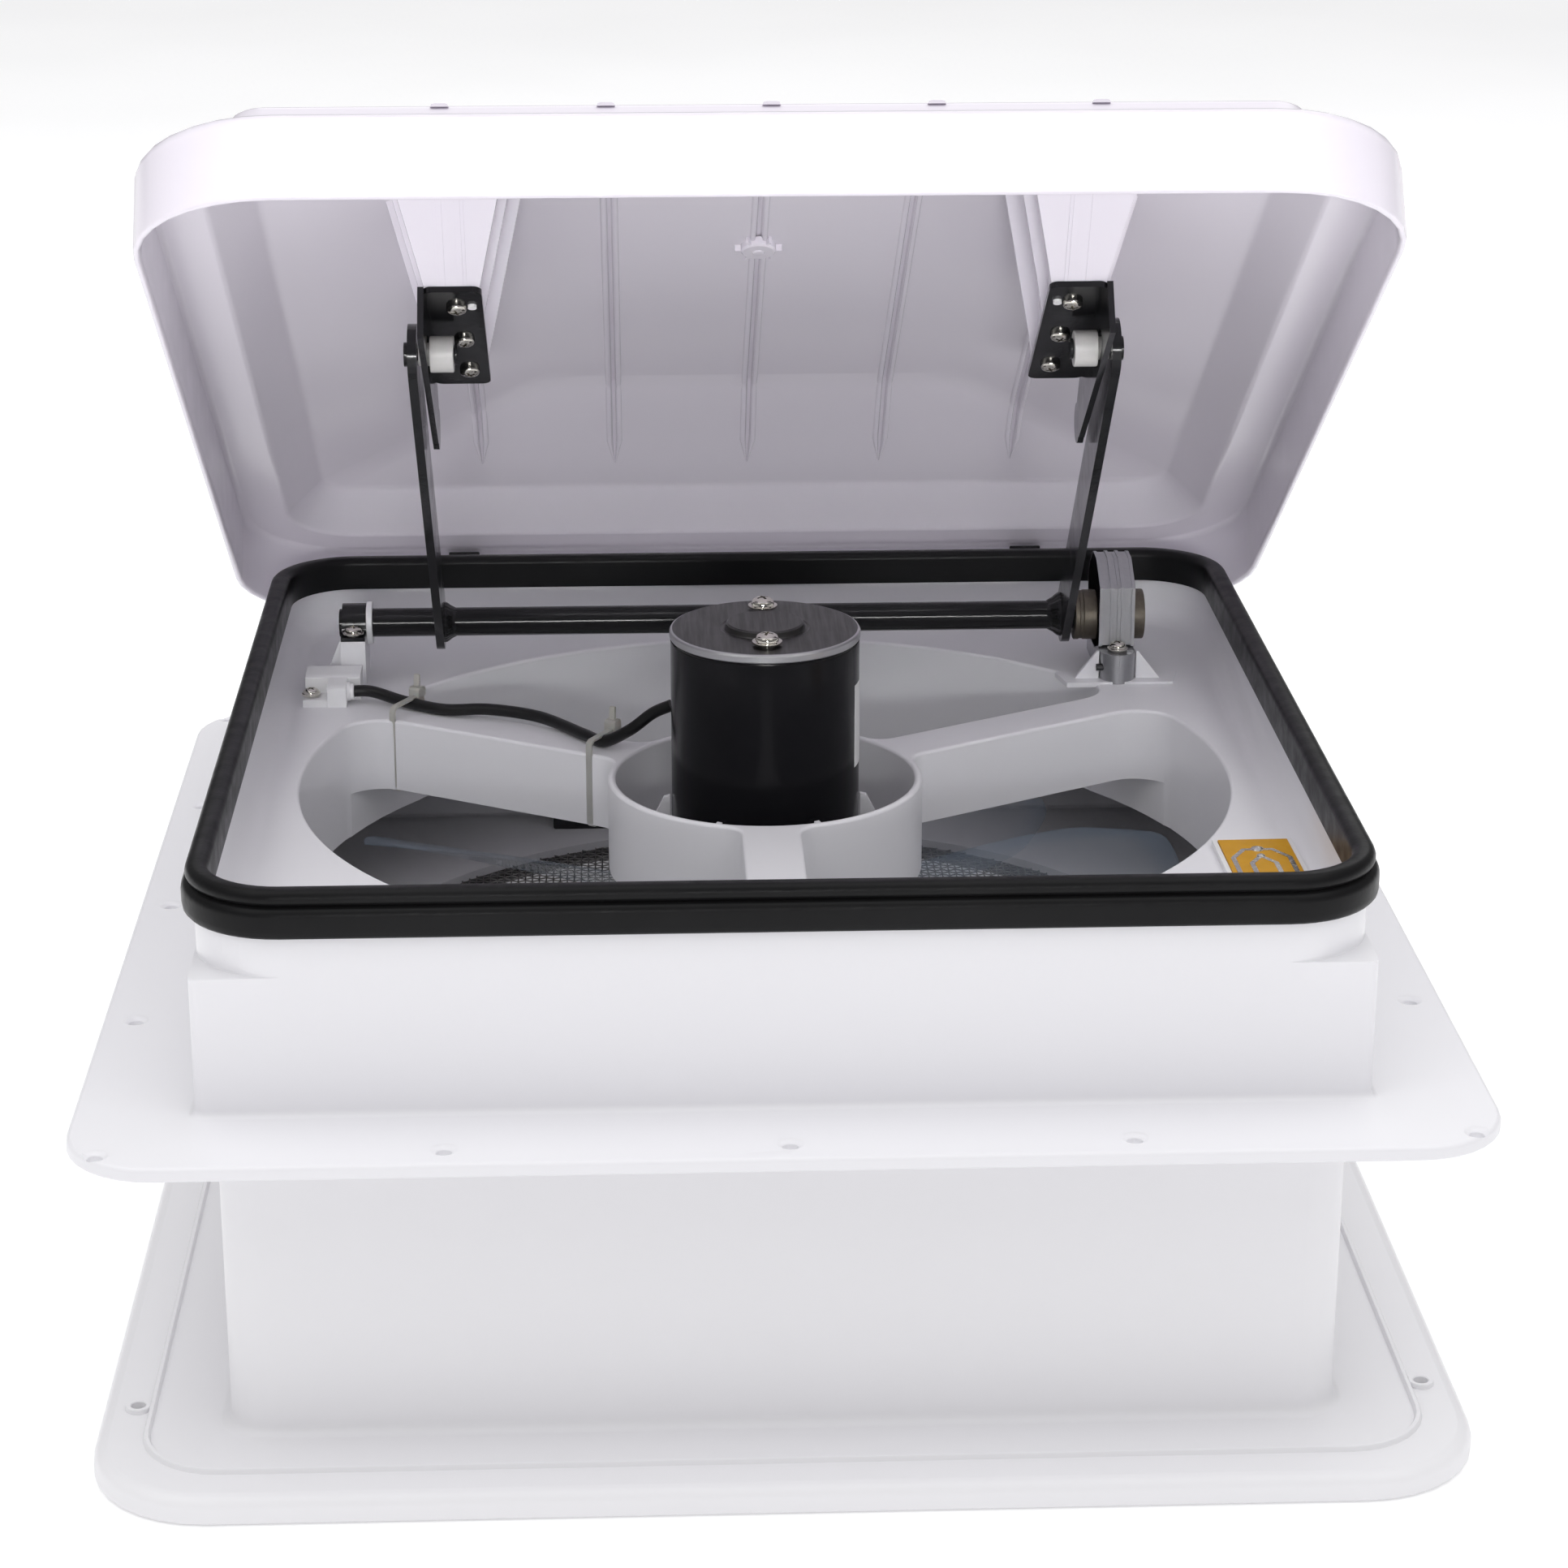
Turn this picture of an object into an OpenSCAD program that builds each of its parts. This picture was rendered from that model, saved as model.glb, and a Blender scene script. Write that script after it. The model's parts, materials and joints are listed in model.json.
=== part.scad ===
// Roof exhaust fan with a motor-lifted lid, drawn with the lid open.
// Origin: centre of the roof opening, on the roof surface. +Y is the hinge side, +Z is up.

/* [View] */
// Sub-part to draw, or all of them

/* [Roof flange] */
// Width of the square roof flange
flange_w = 429; // [410:1:450]
// Thickness of the roof flange
flange_t = 4.5; // [3:0.5:6]
// Corner radius of the roof flange
flange_r = 28; // [10:1:40]
// Distance between roof screws along a side
screw_pitch = 102; // [99:0.5:103]
// Diameter of the roof screw holes
screw_hole = 4.6; // [3.5:0.1:5.5]

/* [Base box] */
// Width of the box above the roof
box_w = 355; // [350:1:358]
// Depth of the box above the roof
box_d = 357.8; // [352:0.1:358]
// Wall thickness of the box
wall = 3; // [2:0.1:3.2]
// Height of the fan deck above the roof
deck_z = 49; // [48:0.5:50]
// Height of the upstand that carries the seal
upstand_z = 75.5; // [75:0.5:76]
// Corner radius of the upstand
upstand_r = 28; // [20:1:34]

/* [Fan duct] */
// Radius of the round fan opening
duct_r = 158; // [155:0.5:158]
// Height of the duct wall
duct_h = 42; // [30:1:46]
// Outer radius of the motor cradle
hub_r = 53.7; // [50:0.1:56]
// Depth of the motor cradle
hub_h = 32.5; // [30:0.5:34]
// Width of each cradle spoke
spoke_w = 19.5; // [14:0.5:24]
// Depth of each cradle spoke
spoke_h = 26; // [20:1:28]

/* [Fan] */
// Radius of the motor can
motor_r = 31.9; // [28:0.1:33]
// Tip radius of the fan blades
blade_tip = 150; // [150:1:153]
// Pitch angle of the fan blades
blade_pitch = 25; // [10:1:30]
// Thickness of a fan blade
blade_t = 2; // [1.5:0.1:2.5]
// Number of fan blades
blade_n = 10; // [5:1:10]

/* [Lid] */
// Width of the lid
lid_w = 389; // [386:0.5:392]
// Front-to-back length of the lid
lid_d = 385.4; // [384:0.2:388]
// Wall thickness of the lid
lid_t = 2.5; // [2:0.1:2.8]
// How far the lid is open in this drawing
lid_open = 35.24; // [0:0.01:35.24]

/* [Lift mechanism] */
// Diameter of the lift shaft
shaft_d = 10.4; // [10:0.1:10.6]
// Distance from shaft to roller
arm_len = 174.9; // [174.5:0.1:175.2]
// Shaft turn for each degree of lid travel
lift_ratio = 1.45; // [1.44:0.01:1.46]
// Diameter of the lift rollers
roller_d = 12; // [11:0.1:13]

/* [Ceiling trim] */
// Width of the ceiling trim
trim_w = 429; // [415:1:440]
// Depth of the ceiling trim
trim_d = 425; // [415:1:440]
// Outer width of the trim neck
neck_w = 346.5; // [346:0.5:348]
// Distance from roof surface to ceiling
roof_t = 104; // [90:0.5:120]

/* [Hidden] */
$fn = 64;
eps = 0.01;
gap = 0.05;
box_in_w = box_w - 2 * wall;
box_in_d = box_d - 2 * wall;
deck_t = 3;
collar_w = 340;
collar_in = 335;
collar_h = 24;
duct_z = deck_z - duct_h;
duct_wall = 2.5;
hub_z = deck_z - hub_h;
hub_in = hub_r - 2.7;
cradle_floor = hub_z + 3;
can_top = 98.5;
cap_t = 3;
shaft_y = 118;
shaft_z = 69;
hinge_y = 189.3;
hinge_z = 33.8;
hinge_x = 110;
pin_r = 2.5;
lid_rear = 192.7;
lid_rim = 51.5;
skirt_h = 28.7;
arm_open = 133.2;
arm_x = 115;
arm_turn = (35.24 - lid_open) * lift_ratio;
shaft_from = -152;
shaft_to = 142;
web_x = 111;
plate_h = 14;
slot_d = 253;
wheel_x = 133;
worm_y = 132.2;
worm_z = 59;
step_z = 66;
worm_len = 16;
wheel_teeth = 20;
blade_z = 2;
fan_hub_r = 45;
motor_down = 46;
trim_z = -roof_t - 1.6;
screen_z = -26;
button_x = [-27, -9, 9, 27];

// ---- Shapes shared by several parts ----

// Rounded rectangle with true arcs
module rrect(w, d, r) {
    square([w - 2 * r, d], center = true);
    square([w, d - 2 * r], center = true);
    for (x = [-1, 1], y = [-1, 1])
        translate([x * (w / 2 - r), y * (d / 2 - r)]) circle(r);
}

module slab(w, d, r, h) linear_extrude(h) rrect(w, d, r);

module tube(r_out, r_in, h) difference() {
    cylinder(r = r_out, h = h);
    translate([0, 0, -eps]) cylinder(r = r_in, h = h + 2 * eps);
}

// Pan-head cross-recess screw, head up, seat at z = 0
module pan_screw(head, shank, len) {
    difference() {
        intersection() {
            cylinder(d = head, h = head * 0.34);
            translate([0, 0, -head * 0.45]) sphere(r = head * 0.79);
        }
        for (a = [0, 90]) rotate(a)
            translate([-head * 0.25, -head * 0.05, head * 0.18]) cube([head * 0.5, head * 0.1, head]);
    }
    translate([0, 0, -len]) cylinder(d = shank, h = len);
}

// Cylinder along +X
module xcyl(r, h) rotate([0, 90, 0]) cylinder(r = r, h = h);

// Frame of the lid: rim plane at z = 0, rear edge at y = 0, front at negative y
module lid_frame()
    translate([0, hinge_y, hinge_z]) rotate([-lid_open, 0, 0])
        translate([0, lid_rear - hinge_y, lid_rim - hinge_z]) children();

// Frame of the lift arm: origin on the shaft axis, +Y toward the roller
module arm_frame() translate([0, shaft_y, shaft_z]) rotate([arm_open + arm_turn, 0, 0]) children();

// ---- Base ----

module roof_holes()
    for (s = [-2:2]) for (p = [[s, 2], [s, -2], [2, s], [-2, s]])
        translate([p[0] * screw_pitch, p[1] * screw_pitch, 0]) children();

module spoke() translate([hub_r - 1, 0, 0]) difference() {
    translate([0, -spoke_w / 2, deck_z - spoke_h]) cube([duct_r - hub_r + 2, spoke_w, spoke_h]);
    translate([-1, -spoke_w / 2 + 2.2, deck_z - spoke_h - 1])
        cube([duct_r - hub_r + 4, spoke_w - 4.4, spoke_h - 1.5]);
}

// Fin that steadies the motor in the cradle
module cradle_fin() rotate([90, 0, 0]) linear_extrude(2, center = true)
    polygon([[motor_r + 0.4, cradle_floor - 1], [46, cradle_floor - 1], [motor_r + 2, 42], [motor_r + 0.4, 42]]);

module hinge_ear() rotate([90, 0, 90]) linear_extrude(6, center = true) difference() {
    union() {
        polygon([[box_d / 2 - 1, 12], [hinge_y + 3, hinge_z - 5.5], [hinge_y, hinge_z + 6],
                 [box_d / 2 - 1, hinge_z + 10]]);
        translate([hinge_y, hinge_z]) circle(6);
    }
    translate([hinge_y, hinge_z]) circle(pin_r);
}

// Moulded stand for the left end of the lift shaft, with a low step in front for the strap
module shaft_post() difference() {
    union() {
        translate([-151, shaft_y - 5.6, deck_z - 1]) cube([9, 14.6, shaft_z - deck_z + 1]);
        translate([-151, shaft_y - 14, deck_z - 1]) cube([9, 9, step_z - deck_z + 1]);
        translate([-146.5, shaft_y, 0]) rotate([90, 0, 90]) linear_extrude(3, center = true)
            polygon([[0, deck_z - 1], [22, deck_z - 1], [9, 57], [0, 57]]);
    }
    translate([-160, shaft_y, shaft_z]) xcyl(shaft_d / 2 + 0.5, 30);
    translate([-146.5, shaft_y - 10.5, step_z - 6]) cylinder(d = 2.6, h = 8);
}

// Pedestal ribs that meet the gearbox column
module gear_stand() {
    for (x = [[118, 126.4], [139.6, 148]]) translate([0, 101, 0]) rotate([90, 0, 0])
        linear_extrude(2, center = true)
            polygon(x[0] < 120 ? [[x[0], deck_z - 1], [x[1], deck_z - 1], [x[1], 60]]
                               : [[x[0], deck_z - 1], [x[1], deck_z - 1], [x[0], 60]]);
}

module base_housing() color("white") difference() {
    union() {
        slab(flange_w, flange_w, flange_r, flange_t);
        translate([-box_w / 2, -box_d / 2, 0]) cube([box_w, box_d, deck_z]);
        slab(box_w, box_d, upstand_r, upstand_z);
        translate([0, 0, -collar_h]) slab(collar_w, collar_w, 12, collar_h + 1);
        for (x = [-1, 1], y = [-1, 1]) translate([x * (hinge_x + 10 * y), 0, 0]) hinge_ear();
    }
    translate([0, 0, -collar_h - 1]) slab(collar_in, collar_in, 10, collar_h + flange_t + 1);
    translate([0, 0, -1]) difference() {
        slab(neck_w + 6, neck_w + 6, 15, 1.8);
        slab(collar_w, collar_w, 12, 3);
    }
    difference() {
        translate([-box_in_w / 2, -box_in_d / 2, flange_t]) cube([box_in_w, box_in_d, deck_z - deck_t - flange_t]);
        translate([0, 0, duct_z]) cylinder(r = duct_r + duct_wall, h = duct_h);
    }
    difference() {
        cylinder(r = duct_r, h = deck_z + 1);
        tube(hub_r, hub_in, deck_z);
        for (a = [30, 150, 270]) rotate(a) spoke();
        translate([0, 0, hub_z]) cylinder(r = hub_in + 1, h = cradle_floor - hub_z);
        for (a = [0:60:300]) rotate(a) cradle_fin();
    }
    translate([0, 0, -1]) cylinder(r = duct_r + duct_wall, h = duct_z + 1);
    translate([0, 0, -1]) cylinder(r = hub_r + 1, h = hub_z + 1);
    translate([0, 0, deck_z]) difference() {
        slab(box_in_w, box_in_d, upstand_r - wall, 40);
        translate([0, 0, -deck_z]) { shaft_post(); gear_stand(); }
    }
    roof_holes() {
        translate([0, 0, -1]) cylinder(d = screw_hole, h = flange_t + 2);
        translate([0, 0, flange_t - 1.2]) cylinder(d1 = screw_hole, d2 = screw_hole + 4, h = 1.3);
    }
    translate([0, 0, hub_z - 1]) cylinder(r = 7, h = 6);
    translate([wheel_x, worm_y, deck_z - 5]) cylinder(r = 5, h = 8);
    translate([-160.6, 84.7, deck_z - 5]) cylinder(d = 2.6, h = 8);
    for (y = [101, 121.4]) translate([wheel_x, y, deck_z - 5]) cylinder(d = 3.1, h = 8);
}

// Rubber seal that caps the upstand
module lid_seal() color("#151515") difference() {
    union() {
        translate([0, 0, 62]) slab(box_w + 7.2, box_d + 7.2, upstand_r + 3.6, 10);
        translate([0, 0, 65.3]) slab(box_w + 4.4, box_d + 4.4, upstand_r + 2.2, 12);
    }
    translate([0, 0, 60]) slab(box_w - 10, box_d - 10, upstand_r - 5, 20);
    translate([0, 0, 60]) difference() {
        slab(box_w, box_d, upstand_r, upstand_z - 60);
        translate([0, 0, 5.3]) slab(box_in_w, box_in_d, upstand_r - wall, 20);
    }
}

module hinge_pins() color("silver") for (s = [-1, 1]) {
    translate([s * hinge_x - 14, hinge_y, hinge_z]) xcyl(pin_r, 28);
    translate([s > 0 ? hinge_x + 14 : -hinge_x - 15.5, hinge_y, hinge_z]) xcyl(4.2, 1.5);
}

// ---- Cable box and shaft clamp ----

module cable_box() color("white") difference() {
    union() {
        translate([-163, 88.5, deck_z]) cube([20, 12.5, 9]);
        translate([-154.4, 79, deck_z]) cube([6.8, 10, 9]);
        translate([-147.7, 84, deck_z + 4.5]) xcyl(3.4, 2.6);
        translate([-163.5, 79.5, deck_z]) cube([9.2, 9.1, 3]);
    }
    translate([-161, 90, deck_z - 1]) cube([16, 9, 8.5]);
    translate([-150, 84, deck_z + 4.5]) xcyl(2.2, 12);
    translate([-160.6, 84.7, deck_z - 1]) cylinder(d = 2.6, h = 5);
    translate([-160.6, 84.7, deck_z + 3]) cylinder(d = 6.4, h = 7);
}

module cable_box_screw() color("silver") translate([-160.6, 84.7, deck_z + 3]) pan_screw(5.6, 2.5, 7);

// Strap over the shaft end, screwed to the step in front and resting on the stand behind
module shaft_clamp() color("#181818") difference() {
    translate([-150.8, shaft_y, shaft_z]) rotate([90, 0, 90]) linear_extrude(8.8) difference() {
        union() {
            circle(shaft_d / 2 + 2);
            translate([-7.2, step_z - shaft_z]) square([1.5, 4]);
            translate([-14, step_z - shaft_z]) square([8.3, 1.5]);
            translate([5.7, 0]) square([3.3, 1.5]);
        }
        circle(shaft_d / 2 + 0.5);
        translate([-5.7, -12]) square([20, 12]);
        translate([-7.3, -12]) square([8, 12 + step_z - shaft_z]);
    }
    translate([-146.5, shaft_y - 10.5, step_z - 1]) cylinder(d = 2.6, h = 4);
}

module clamp_screw() color("silver") translate([-146.5, shaft_y - 10.5, step_z + 1.5])
    rotate(20) pan_screw(6, 2.5, 5.5);

module shaft_washer() color("white") translate([-141.95, shaft_y, shaft_z])
    rotate([0, 90, 0]) difference() {
        cylinder(r = 7.8, h = 2.2);
        translate([0, 0, -1]) cylinder(r = shaft_d / 2 + gap, h = 5);
    }

// ---- Lift gearbox ----

module gear_outline() {
    translate([shaft_y, shaft_z]) circle(16);
    translate([124.2, shaft_z - 14]) square([16, 27]);
    polygon([[119, 80], [119, 90], [129, 90], [140.2, 80]]);
    polygon([[104.8, 59.5], [107, 59.5], [116, 54], [127, 90], [119, 90], [104.8, 82.5]]);
    translate([103, deck_z]) square([14, 11]);
    translate([116.5, deck_z]) square([23.7, 8]);
}

module gear_cavity() {
    translate([wheel_x - 4.2, shaft_y, shaft_z]) xcyl(11.4, 8.4);
    translate([wheel_x, worm_y, deck_z - 1]) cylinder(r = 5, h = 30);
    translate([wheel_x - 20, shaft_y, shaft_z]) xcyl(9.25, 13.5);
    translate([wheel_x + 6.6, shaft_y, shaft_z]) xcyl(9.25, 14);
    translate([100, shaft_y, shaft_z]) xcyl(shaft_d / 2 + 1, 60);
    translate([wheel_x, 101, deck_z - 1]) cylinder(d = 3.1, h = 40);
    translate([wheel_x, 101, 60]) cylinder(d = 7.4, h = 40);
    translate([wheel_x, 121.4, deck_z - 1]) cylinder(d = 3.1, h = 5.5);
}

module gear_half(x, w) difference() {
    union() {
        translate([x, 0, 0]) rotate([90, 0, 90]) linear_extrude(w) gear_outline();
        intersection() {
            translate([wheel_x, 101, deck_z]) cylinder(r = 6.4, h = 11);
            translate([x, 90, deck_z]) cube([w, 20, 12]);
        }
    }
    gear_cavity();
}

module gearbox_left() color("#8b8b90") difference() {
    gear_half(wheel_x - 6.5, 6.5);
    translate([120, 98.6, 54.5]) xcyl(1.3, 10);
}

module gearbox_right() color("#8b8b90") gear_half(wheel_x, 6.5);

module gearbox_screws() color("silver") {
    translate([wheel_x, 101, 60]) pan_screw(6, 3, 16);
    translate([wheel_x, 121.4, deck_z - deck_t]) mirror([0, 0, 1]) pan_screw(6, 3, 7);
}

module set_screw() color("#202020") translate([wheel_x - 8, 98.6, 54.5]) difference() {
    xcyl(1.25, 4.6);
    translate([-eps, 0, 0]) rotate([0, 90, 0]) cylinder(r = 0.7, h = 1, $fn = 6);
}

module bushing(x, w) translate([x, shaft_y, shaft_z]) rotate([0, 90, 0])
    tube(9.2, shaft_d / 2 + gap, w);

module bushing_left() color("#6f675c") bushing(118.2, 8.3);
module bushing_right() color("#6f675c") bushing(wheel_x + 6.6, 4.4);

// Gear motor under the deck that turns the worm
module lift_motor() color("#2a2a2c") translate([wheel_x, worm_y, 0]) difference() {
    union() {
        translate([0, 0, 4]) cylinder(r = 12, h = 36);
        translate([0, 0, 40]) cylinder(r = 7.4, h = deck_z - deck_t - 40);
        translate([0, 0, 2.5]) cylinder(r = 4, h = 1.5);
        for (x = [-1, 1]) translate([x * 4 - 0.4, -1.5, -1]) cube([0.8, 3, 5.5]);
    }
    translate([0, 0, 20]) cylinder(r = 1.5 + gap, h = 40);
}

// Single-start left-hand worm: a lobe swept up the shaft once per tooth pitch
module worm() color("#b9a35c") translate([wheel_x, worm_y, 0]) {
    translate([0, 0, 22]) cylinder(r = 1.5, h = 38, $fn = 24);
    translate([0, 0, worm_z]) rotate(90 + 360 * (shaft_z - worm_z) / PI + wheel_teeth * arm_turn)
        linear_extrude(worm_len, twist = 360 * worm_len / PI, slices = 72, convexity = 6) {
            circle(2.7, $fn = 9);
            polygon([for (a = [-36:24:36]) 4.6 * [cos(a), sin(a)], [0, 0]]);
        }
    translate([0, 0, worm_z + worm_len]) cylinder(r = 2.7, h = 2.5, $fn = 24);
}

module worm_wheel() color("#d9c27a") translate([wheel_x - 3.5, shaft_y, shaft_z])
    rotate([arm_turn, 0, 0]) rotate([0, 90, 0]) difference() {
        union() {
            cylinder(r = 9.2, h = 7);
            for (i = [0:wheel_teeth - 1]) rotate(i * 360 / wheel_teeth)
                translate([7, -0.35, 1.9]) cube([4.0, 0.7, 3.2]);
        }
        translate([0, 0, -1]) cylinder(r = shaft_d / 2, h = 9);
    }

// ---- Lift shaft, arms and rollers ----

module lift_shaft() color("#121212") translate([shaft_from, shaft_y, shaft_z]) rotate([0, 90, 0])
    tube(shaft_d / 2, shaft_d / 2 - 1.6, shaft_to - shaft_from);

module arm(x) arm_frame() translate([x - 1.5, 0, 0]) rotate([90, 0, 90]) linear_extrude(3) difference() {
    union() {
        circle(10);
        translate([0, -10]) square([arm_len, 20]);
        translate([arm_len, 0]) circle(10);
    }
    circle(shaft_d / 2);
    translate([arm_len, 0]) circle(2);
}

module arm_left() color("#141414") arm(-arm_x);
module arm_right() color("#141414") arm(arm_x);

module weld_beads() color("#222222") arm_frame() for (s = [-1, 1])
    translate([s * (arm_x - 1.5), 0, 0]) rotate([0, -s * 90, 0]) difference() {
        cylinder(r1 = 8, r2 = shaft_d / 2 + 0.6, h = 5);
        translate([0, 0, -1]) cylinder(r = shaft_d / 2, h = 8);
    }

module roller_pins() color("silver") arm_frame() for (s = [-1, 1]) translate([0, arm_len, 0]) {
    translate([s > 0 ? 100.5 : -arm_x - 3, 0, 0]) xcyl(2, arm_x - 97.5);
    translate([s > 0 ? arm_x + 1.5 : -arm_x - 3, 0, 0]) xcyl(4, 1.5);
    translate([s > 0 ? 100.5 : -101.5, 0, 0]) xcyl(3.4, 1);
}

// Flanged nylon roller: wide tread inside the rail, narrow hub through its slot
module roller(s) arm_frame() translate([0, arm_len, 0]) difference() {
    union() {
        translate([s > 0 ? 101.7 : -109.5, 0, 0]) xcyl(roller_d / 2, 7.8);
        translate([s > 0 ? 109.5 : -113.3, 0, 0]) xcyl(3.8, 3.8);
    }
    translate([s * 107.5 - 8, 0, 0]) xcyl(2 + gap, 16);
}

module roller_left() color("#e6e4e0") roller(-1);
module roller_right() color("#e6e4e0") roller(1);

// ---- Lid ----

// Half section of the crown: side half-width w, top half-width v, lowered by t
module crown_section(w, v, t, len) rotate([90, 0, 90]) linear_extrude(len, center = true)
    polygon([for (s = [1, -1], i = s > 0 ? [0:2] : [2:-1:0])
        [[s * (w - 17.5 - t), skirt_h - 0.1 - t], [s * (w - 30 - t), 44 - t], [s * v, 60.5 - t]][i]]);

// Solid crown of the lid, shrunk by t on every side
module crown(t) intersection() {
    linear_extrude(80) rrect(lid_w - 35 - 2 * t, lid_d - 35 - 2 * t, 32);
    crown_section(lid_d / 2, 98, t, 400);
    rotate(90) crown_section(lid_w / 2, 80, t, 400);
}

module rail_boss(s) translate([s * 101, 0, 0]) {
    translate([-8.5, -281, plate_h + 2]) cube([17, 74, 40]);
    for (d = [215, 244, 273]) translate([-14, -d - 1, plate_h + 12]) cube([28, 2, 32]);
}

module rail_screws() for (s = [-1, 1], p = [[98.1, 218], [98.7, 244], [100, 271]])
    translate([s * p[0], -p[1], plate_h]) children();

module lid_shell() color("white") lid_frame() {
    difference() {
        union() {
            translate([0, -lid_d / 2, 0]) slab(lid_w, lid_d, 45, skirt_h);
            translate([0, -lid_d / 2, 0]) crown(0);
            translate([0, -lid_d / 2, 0]) intersection() {
                crown(-1.2);
                for (x = [-101, -50.5, 0, 50.5, 101])
                    translate([x - 1.2, -lid_d / 2 - 10, 40]) cube([2.4, lid_d - 38, 40]);
            }
        }
        translate([0, -lid_d / 2, -1]) slab(lid_w - 2 * lid_t, lid_d - 2 * lid_t, 42.5, skirt_h - lid_t + 1);
        translate([0, -lid_d / 2, 0]) crown(lid_t);
        for (s = [-1, 1]) translate([s * hinge_x - 7, -lid_t - 1, -1]) cube([14, 4, 3.5]);
    }
    difference() {
        translate([0, -lid_d / 2, 0]) intersection() {
            crown(lid_t - 0.05);
            union() {
                translate([0, lid_d / 2 - 255, 0]) cylinder(r = 12, h = 70);
                for (s = [-1, 1]) translate([0, lid_d / 2, 0]) rail_boss(s);
            }
        }
        difference() {
            translate([0, -lid_d / 2, -7]) crown(lid_t);
            translate([0, 0, -0.1]) for (s = [-1, 1]) rail_boss(s);
        }
        rail_screws() cylinder(d = 2.6, h = 12);
    }
}

// Steel leaf from the rear skirt down to the hinge pin
module hinge_leaves() color("#1c1c1c") lid_frame() for (s = [-1, 1])
    translate([s * hinge_x, 0, 0]) rotate([90, 0, 90]) linear_extrude(12, center = true) difference() {
        union() {
            translate([-lid_t - 2, 2.4]) square([2, 22]);
            translate([-lid_t - 2, -1]) square([2.5, 3.4]);
            polygon([[-lid_t - 2, -1], [-2, -1], [hinge_y - lid_rear + 4.5, hinge_z - lid_rim],
                     [hinge_y - lid_rear - 4.5, hinge_z - lid_rim]]);
            translate([hinge_y - lid_rear, hinge_z - lid_rim]) circle(5);
        }
        translate([hinge_y - lid_rear, hinge_z - lid_rim]) circle(pin_r + gap);
    }

// Pressed steel rail: flat plate on the boss, side web with the roller slot
module rail(s) lid_frame() difference() {
    union() {
        translate([s * 101, -244, plate_h]) linear_extrude(2) rrect(19, 78, 3);
        translate([s * web_x - 1, 0, 0]) rotate([90, 0, 90]) linear_extrude(2) difference() {
            union() {
                polygon([[-283, plate_h + 2], [-283, -2], [-190, -2], [-180, 7], [-200, plate_h + 2]]);
                translate([-186, 5]) circle(7);
            }
            translate([-slot_d - 5, 0.3]) square([10, 9.4]);
            for (y = [-5, 5]) translate([-slot_d + y, 5]) circle(4.7);
        }
    }
    rail_screws() translate([0, 0, -1]) cylinder(d = 3, h = 5);
    translate([s * 94.9, -272, plate_h - 1]) cylinder(r = 1.5, h = 4);
}

module bracket_left() color("#161616") rail(-1);
module bracket_right() color("#161616") rail(1);

module bracket_screws() color("silver") lid_frame() rail_screws() mirror([0, 0, 1]) pan_screw(6.4, 2.5, 9);

module bracket_pegs() color("#f2f2f2") lid_frame() for (s = [-1, 1])
    translate([s * 94.9, -272, plate_h - 1]) cylinder(r = 1.4, h = 3);

// ---- Fan motor ----

module motor_can() color("#111111") translate([0, 0, cradle_floor]) difference() {
    cylinder(r = motor_r, h = can_top - cradle_floor);
    translate([0, 0, 2]) cylinder(r = motor_r - 2, h = 100);
    translate([0, 0, -1]) cylinder(r = 6, h = 5);
}

module motor_cap() color("#77777a") difference() {
    union() {
        translate([0, 0, can_top]) cylinder(r = motor_r + 0.3, h = cap_t);
        translate([0, 0, can_top + cap_t]) cylinder(r = 13, h = 2);
        translate([0, 0, can_top - 5]) cylinder(r = 9, h = 5);
    }
    translate([0, 0, can_top - 6]) cylinder(r = 6, h = 7);
    for (y = [-21, 21]) translate([0, y, can_top - 1]) cylinder(d = 4, h = 6);
}

module motor_screws() color("silver") for (y = [-21, 21])
    translate([0, y, can_top + cap_t]) rotate(y > 0 ? 30 : 75) pan_screw(7.8, 3.9, 8);

module motor_label() color("white") translate([0, 0, 55]) intersection() {
    tube(motor_r + 0.15, motor_r, 29);
    linear_extrude(29) polygon([[0, 0], [80, -31], [80, 70], [40, 70]]);
}

module motor_magnets() color("#3c3c40") translate([0, 0, 30]) difference() {
    tube(motor_r - 2.1, motor_r - 8, 52);
    translate([-50, -5, -1]) cube([100, 10, 60]);
}

module motor_bearings() color("#a98448") {
    translate([0, 0, cradle_floor]) tube(6, 4 + gap, 6);
    translate([0, 0, can_top - 5]) tube(6, 4 + gap, 5);
}

module motor_rotor() color("#8a4b2a") difference() {
    union() {
        translate([0, 0, 34]) cylinder(r = motor_r - 9, h = 44);
        translate([0, 0, 78]) cylinder(r = 9, h = 12);
    }
    for (a = [0:30:330]) rotate(a) translate([motor_r - 14, -1, 33]) cube([8, 2, 46]);
    translate([0, 0, 30]) cylinder(r = 4, h = 70);
}

module motor_shaft() color("#c4c4c8") difference() {
    translate([0, 0, -21]) cylinder(r = 4, h = can_top + 21);
    translate([3, -5, -22]) cube([5, 10, 22]);
}

// ---- Fan ----

module fan_hub() color("#9fb2c4", 0.6) difference() {
    union() {
        translate([0, 0, -13]) cylinder(r = fan_hub_r, h = 2.5);
        translate([0, 0, -13]) tube(fan_hub_r, fan_hub_r - 2.5, 25);
        translate([0, 0, -13]) cylinder(r = 9, h = 26);
        for (a = [0:60:300]) rotate(a) translate([8, -1, -12]) cube([fan_hub_r - 9.5, 2, 20]);
    }
    translate([0, 0, -14]) cylinder(r = 4, h = 30);
}

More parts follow.
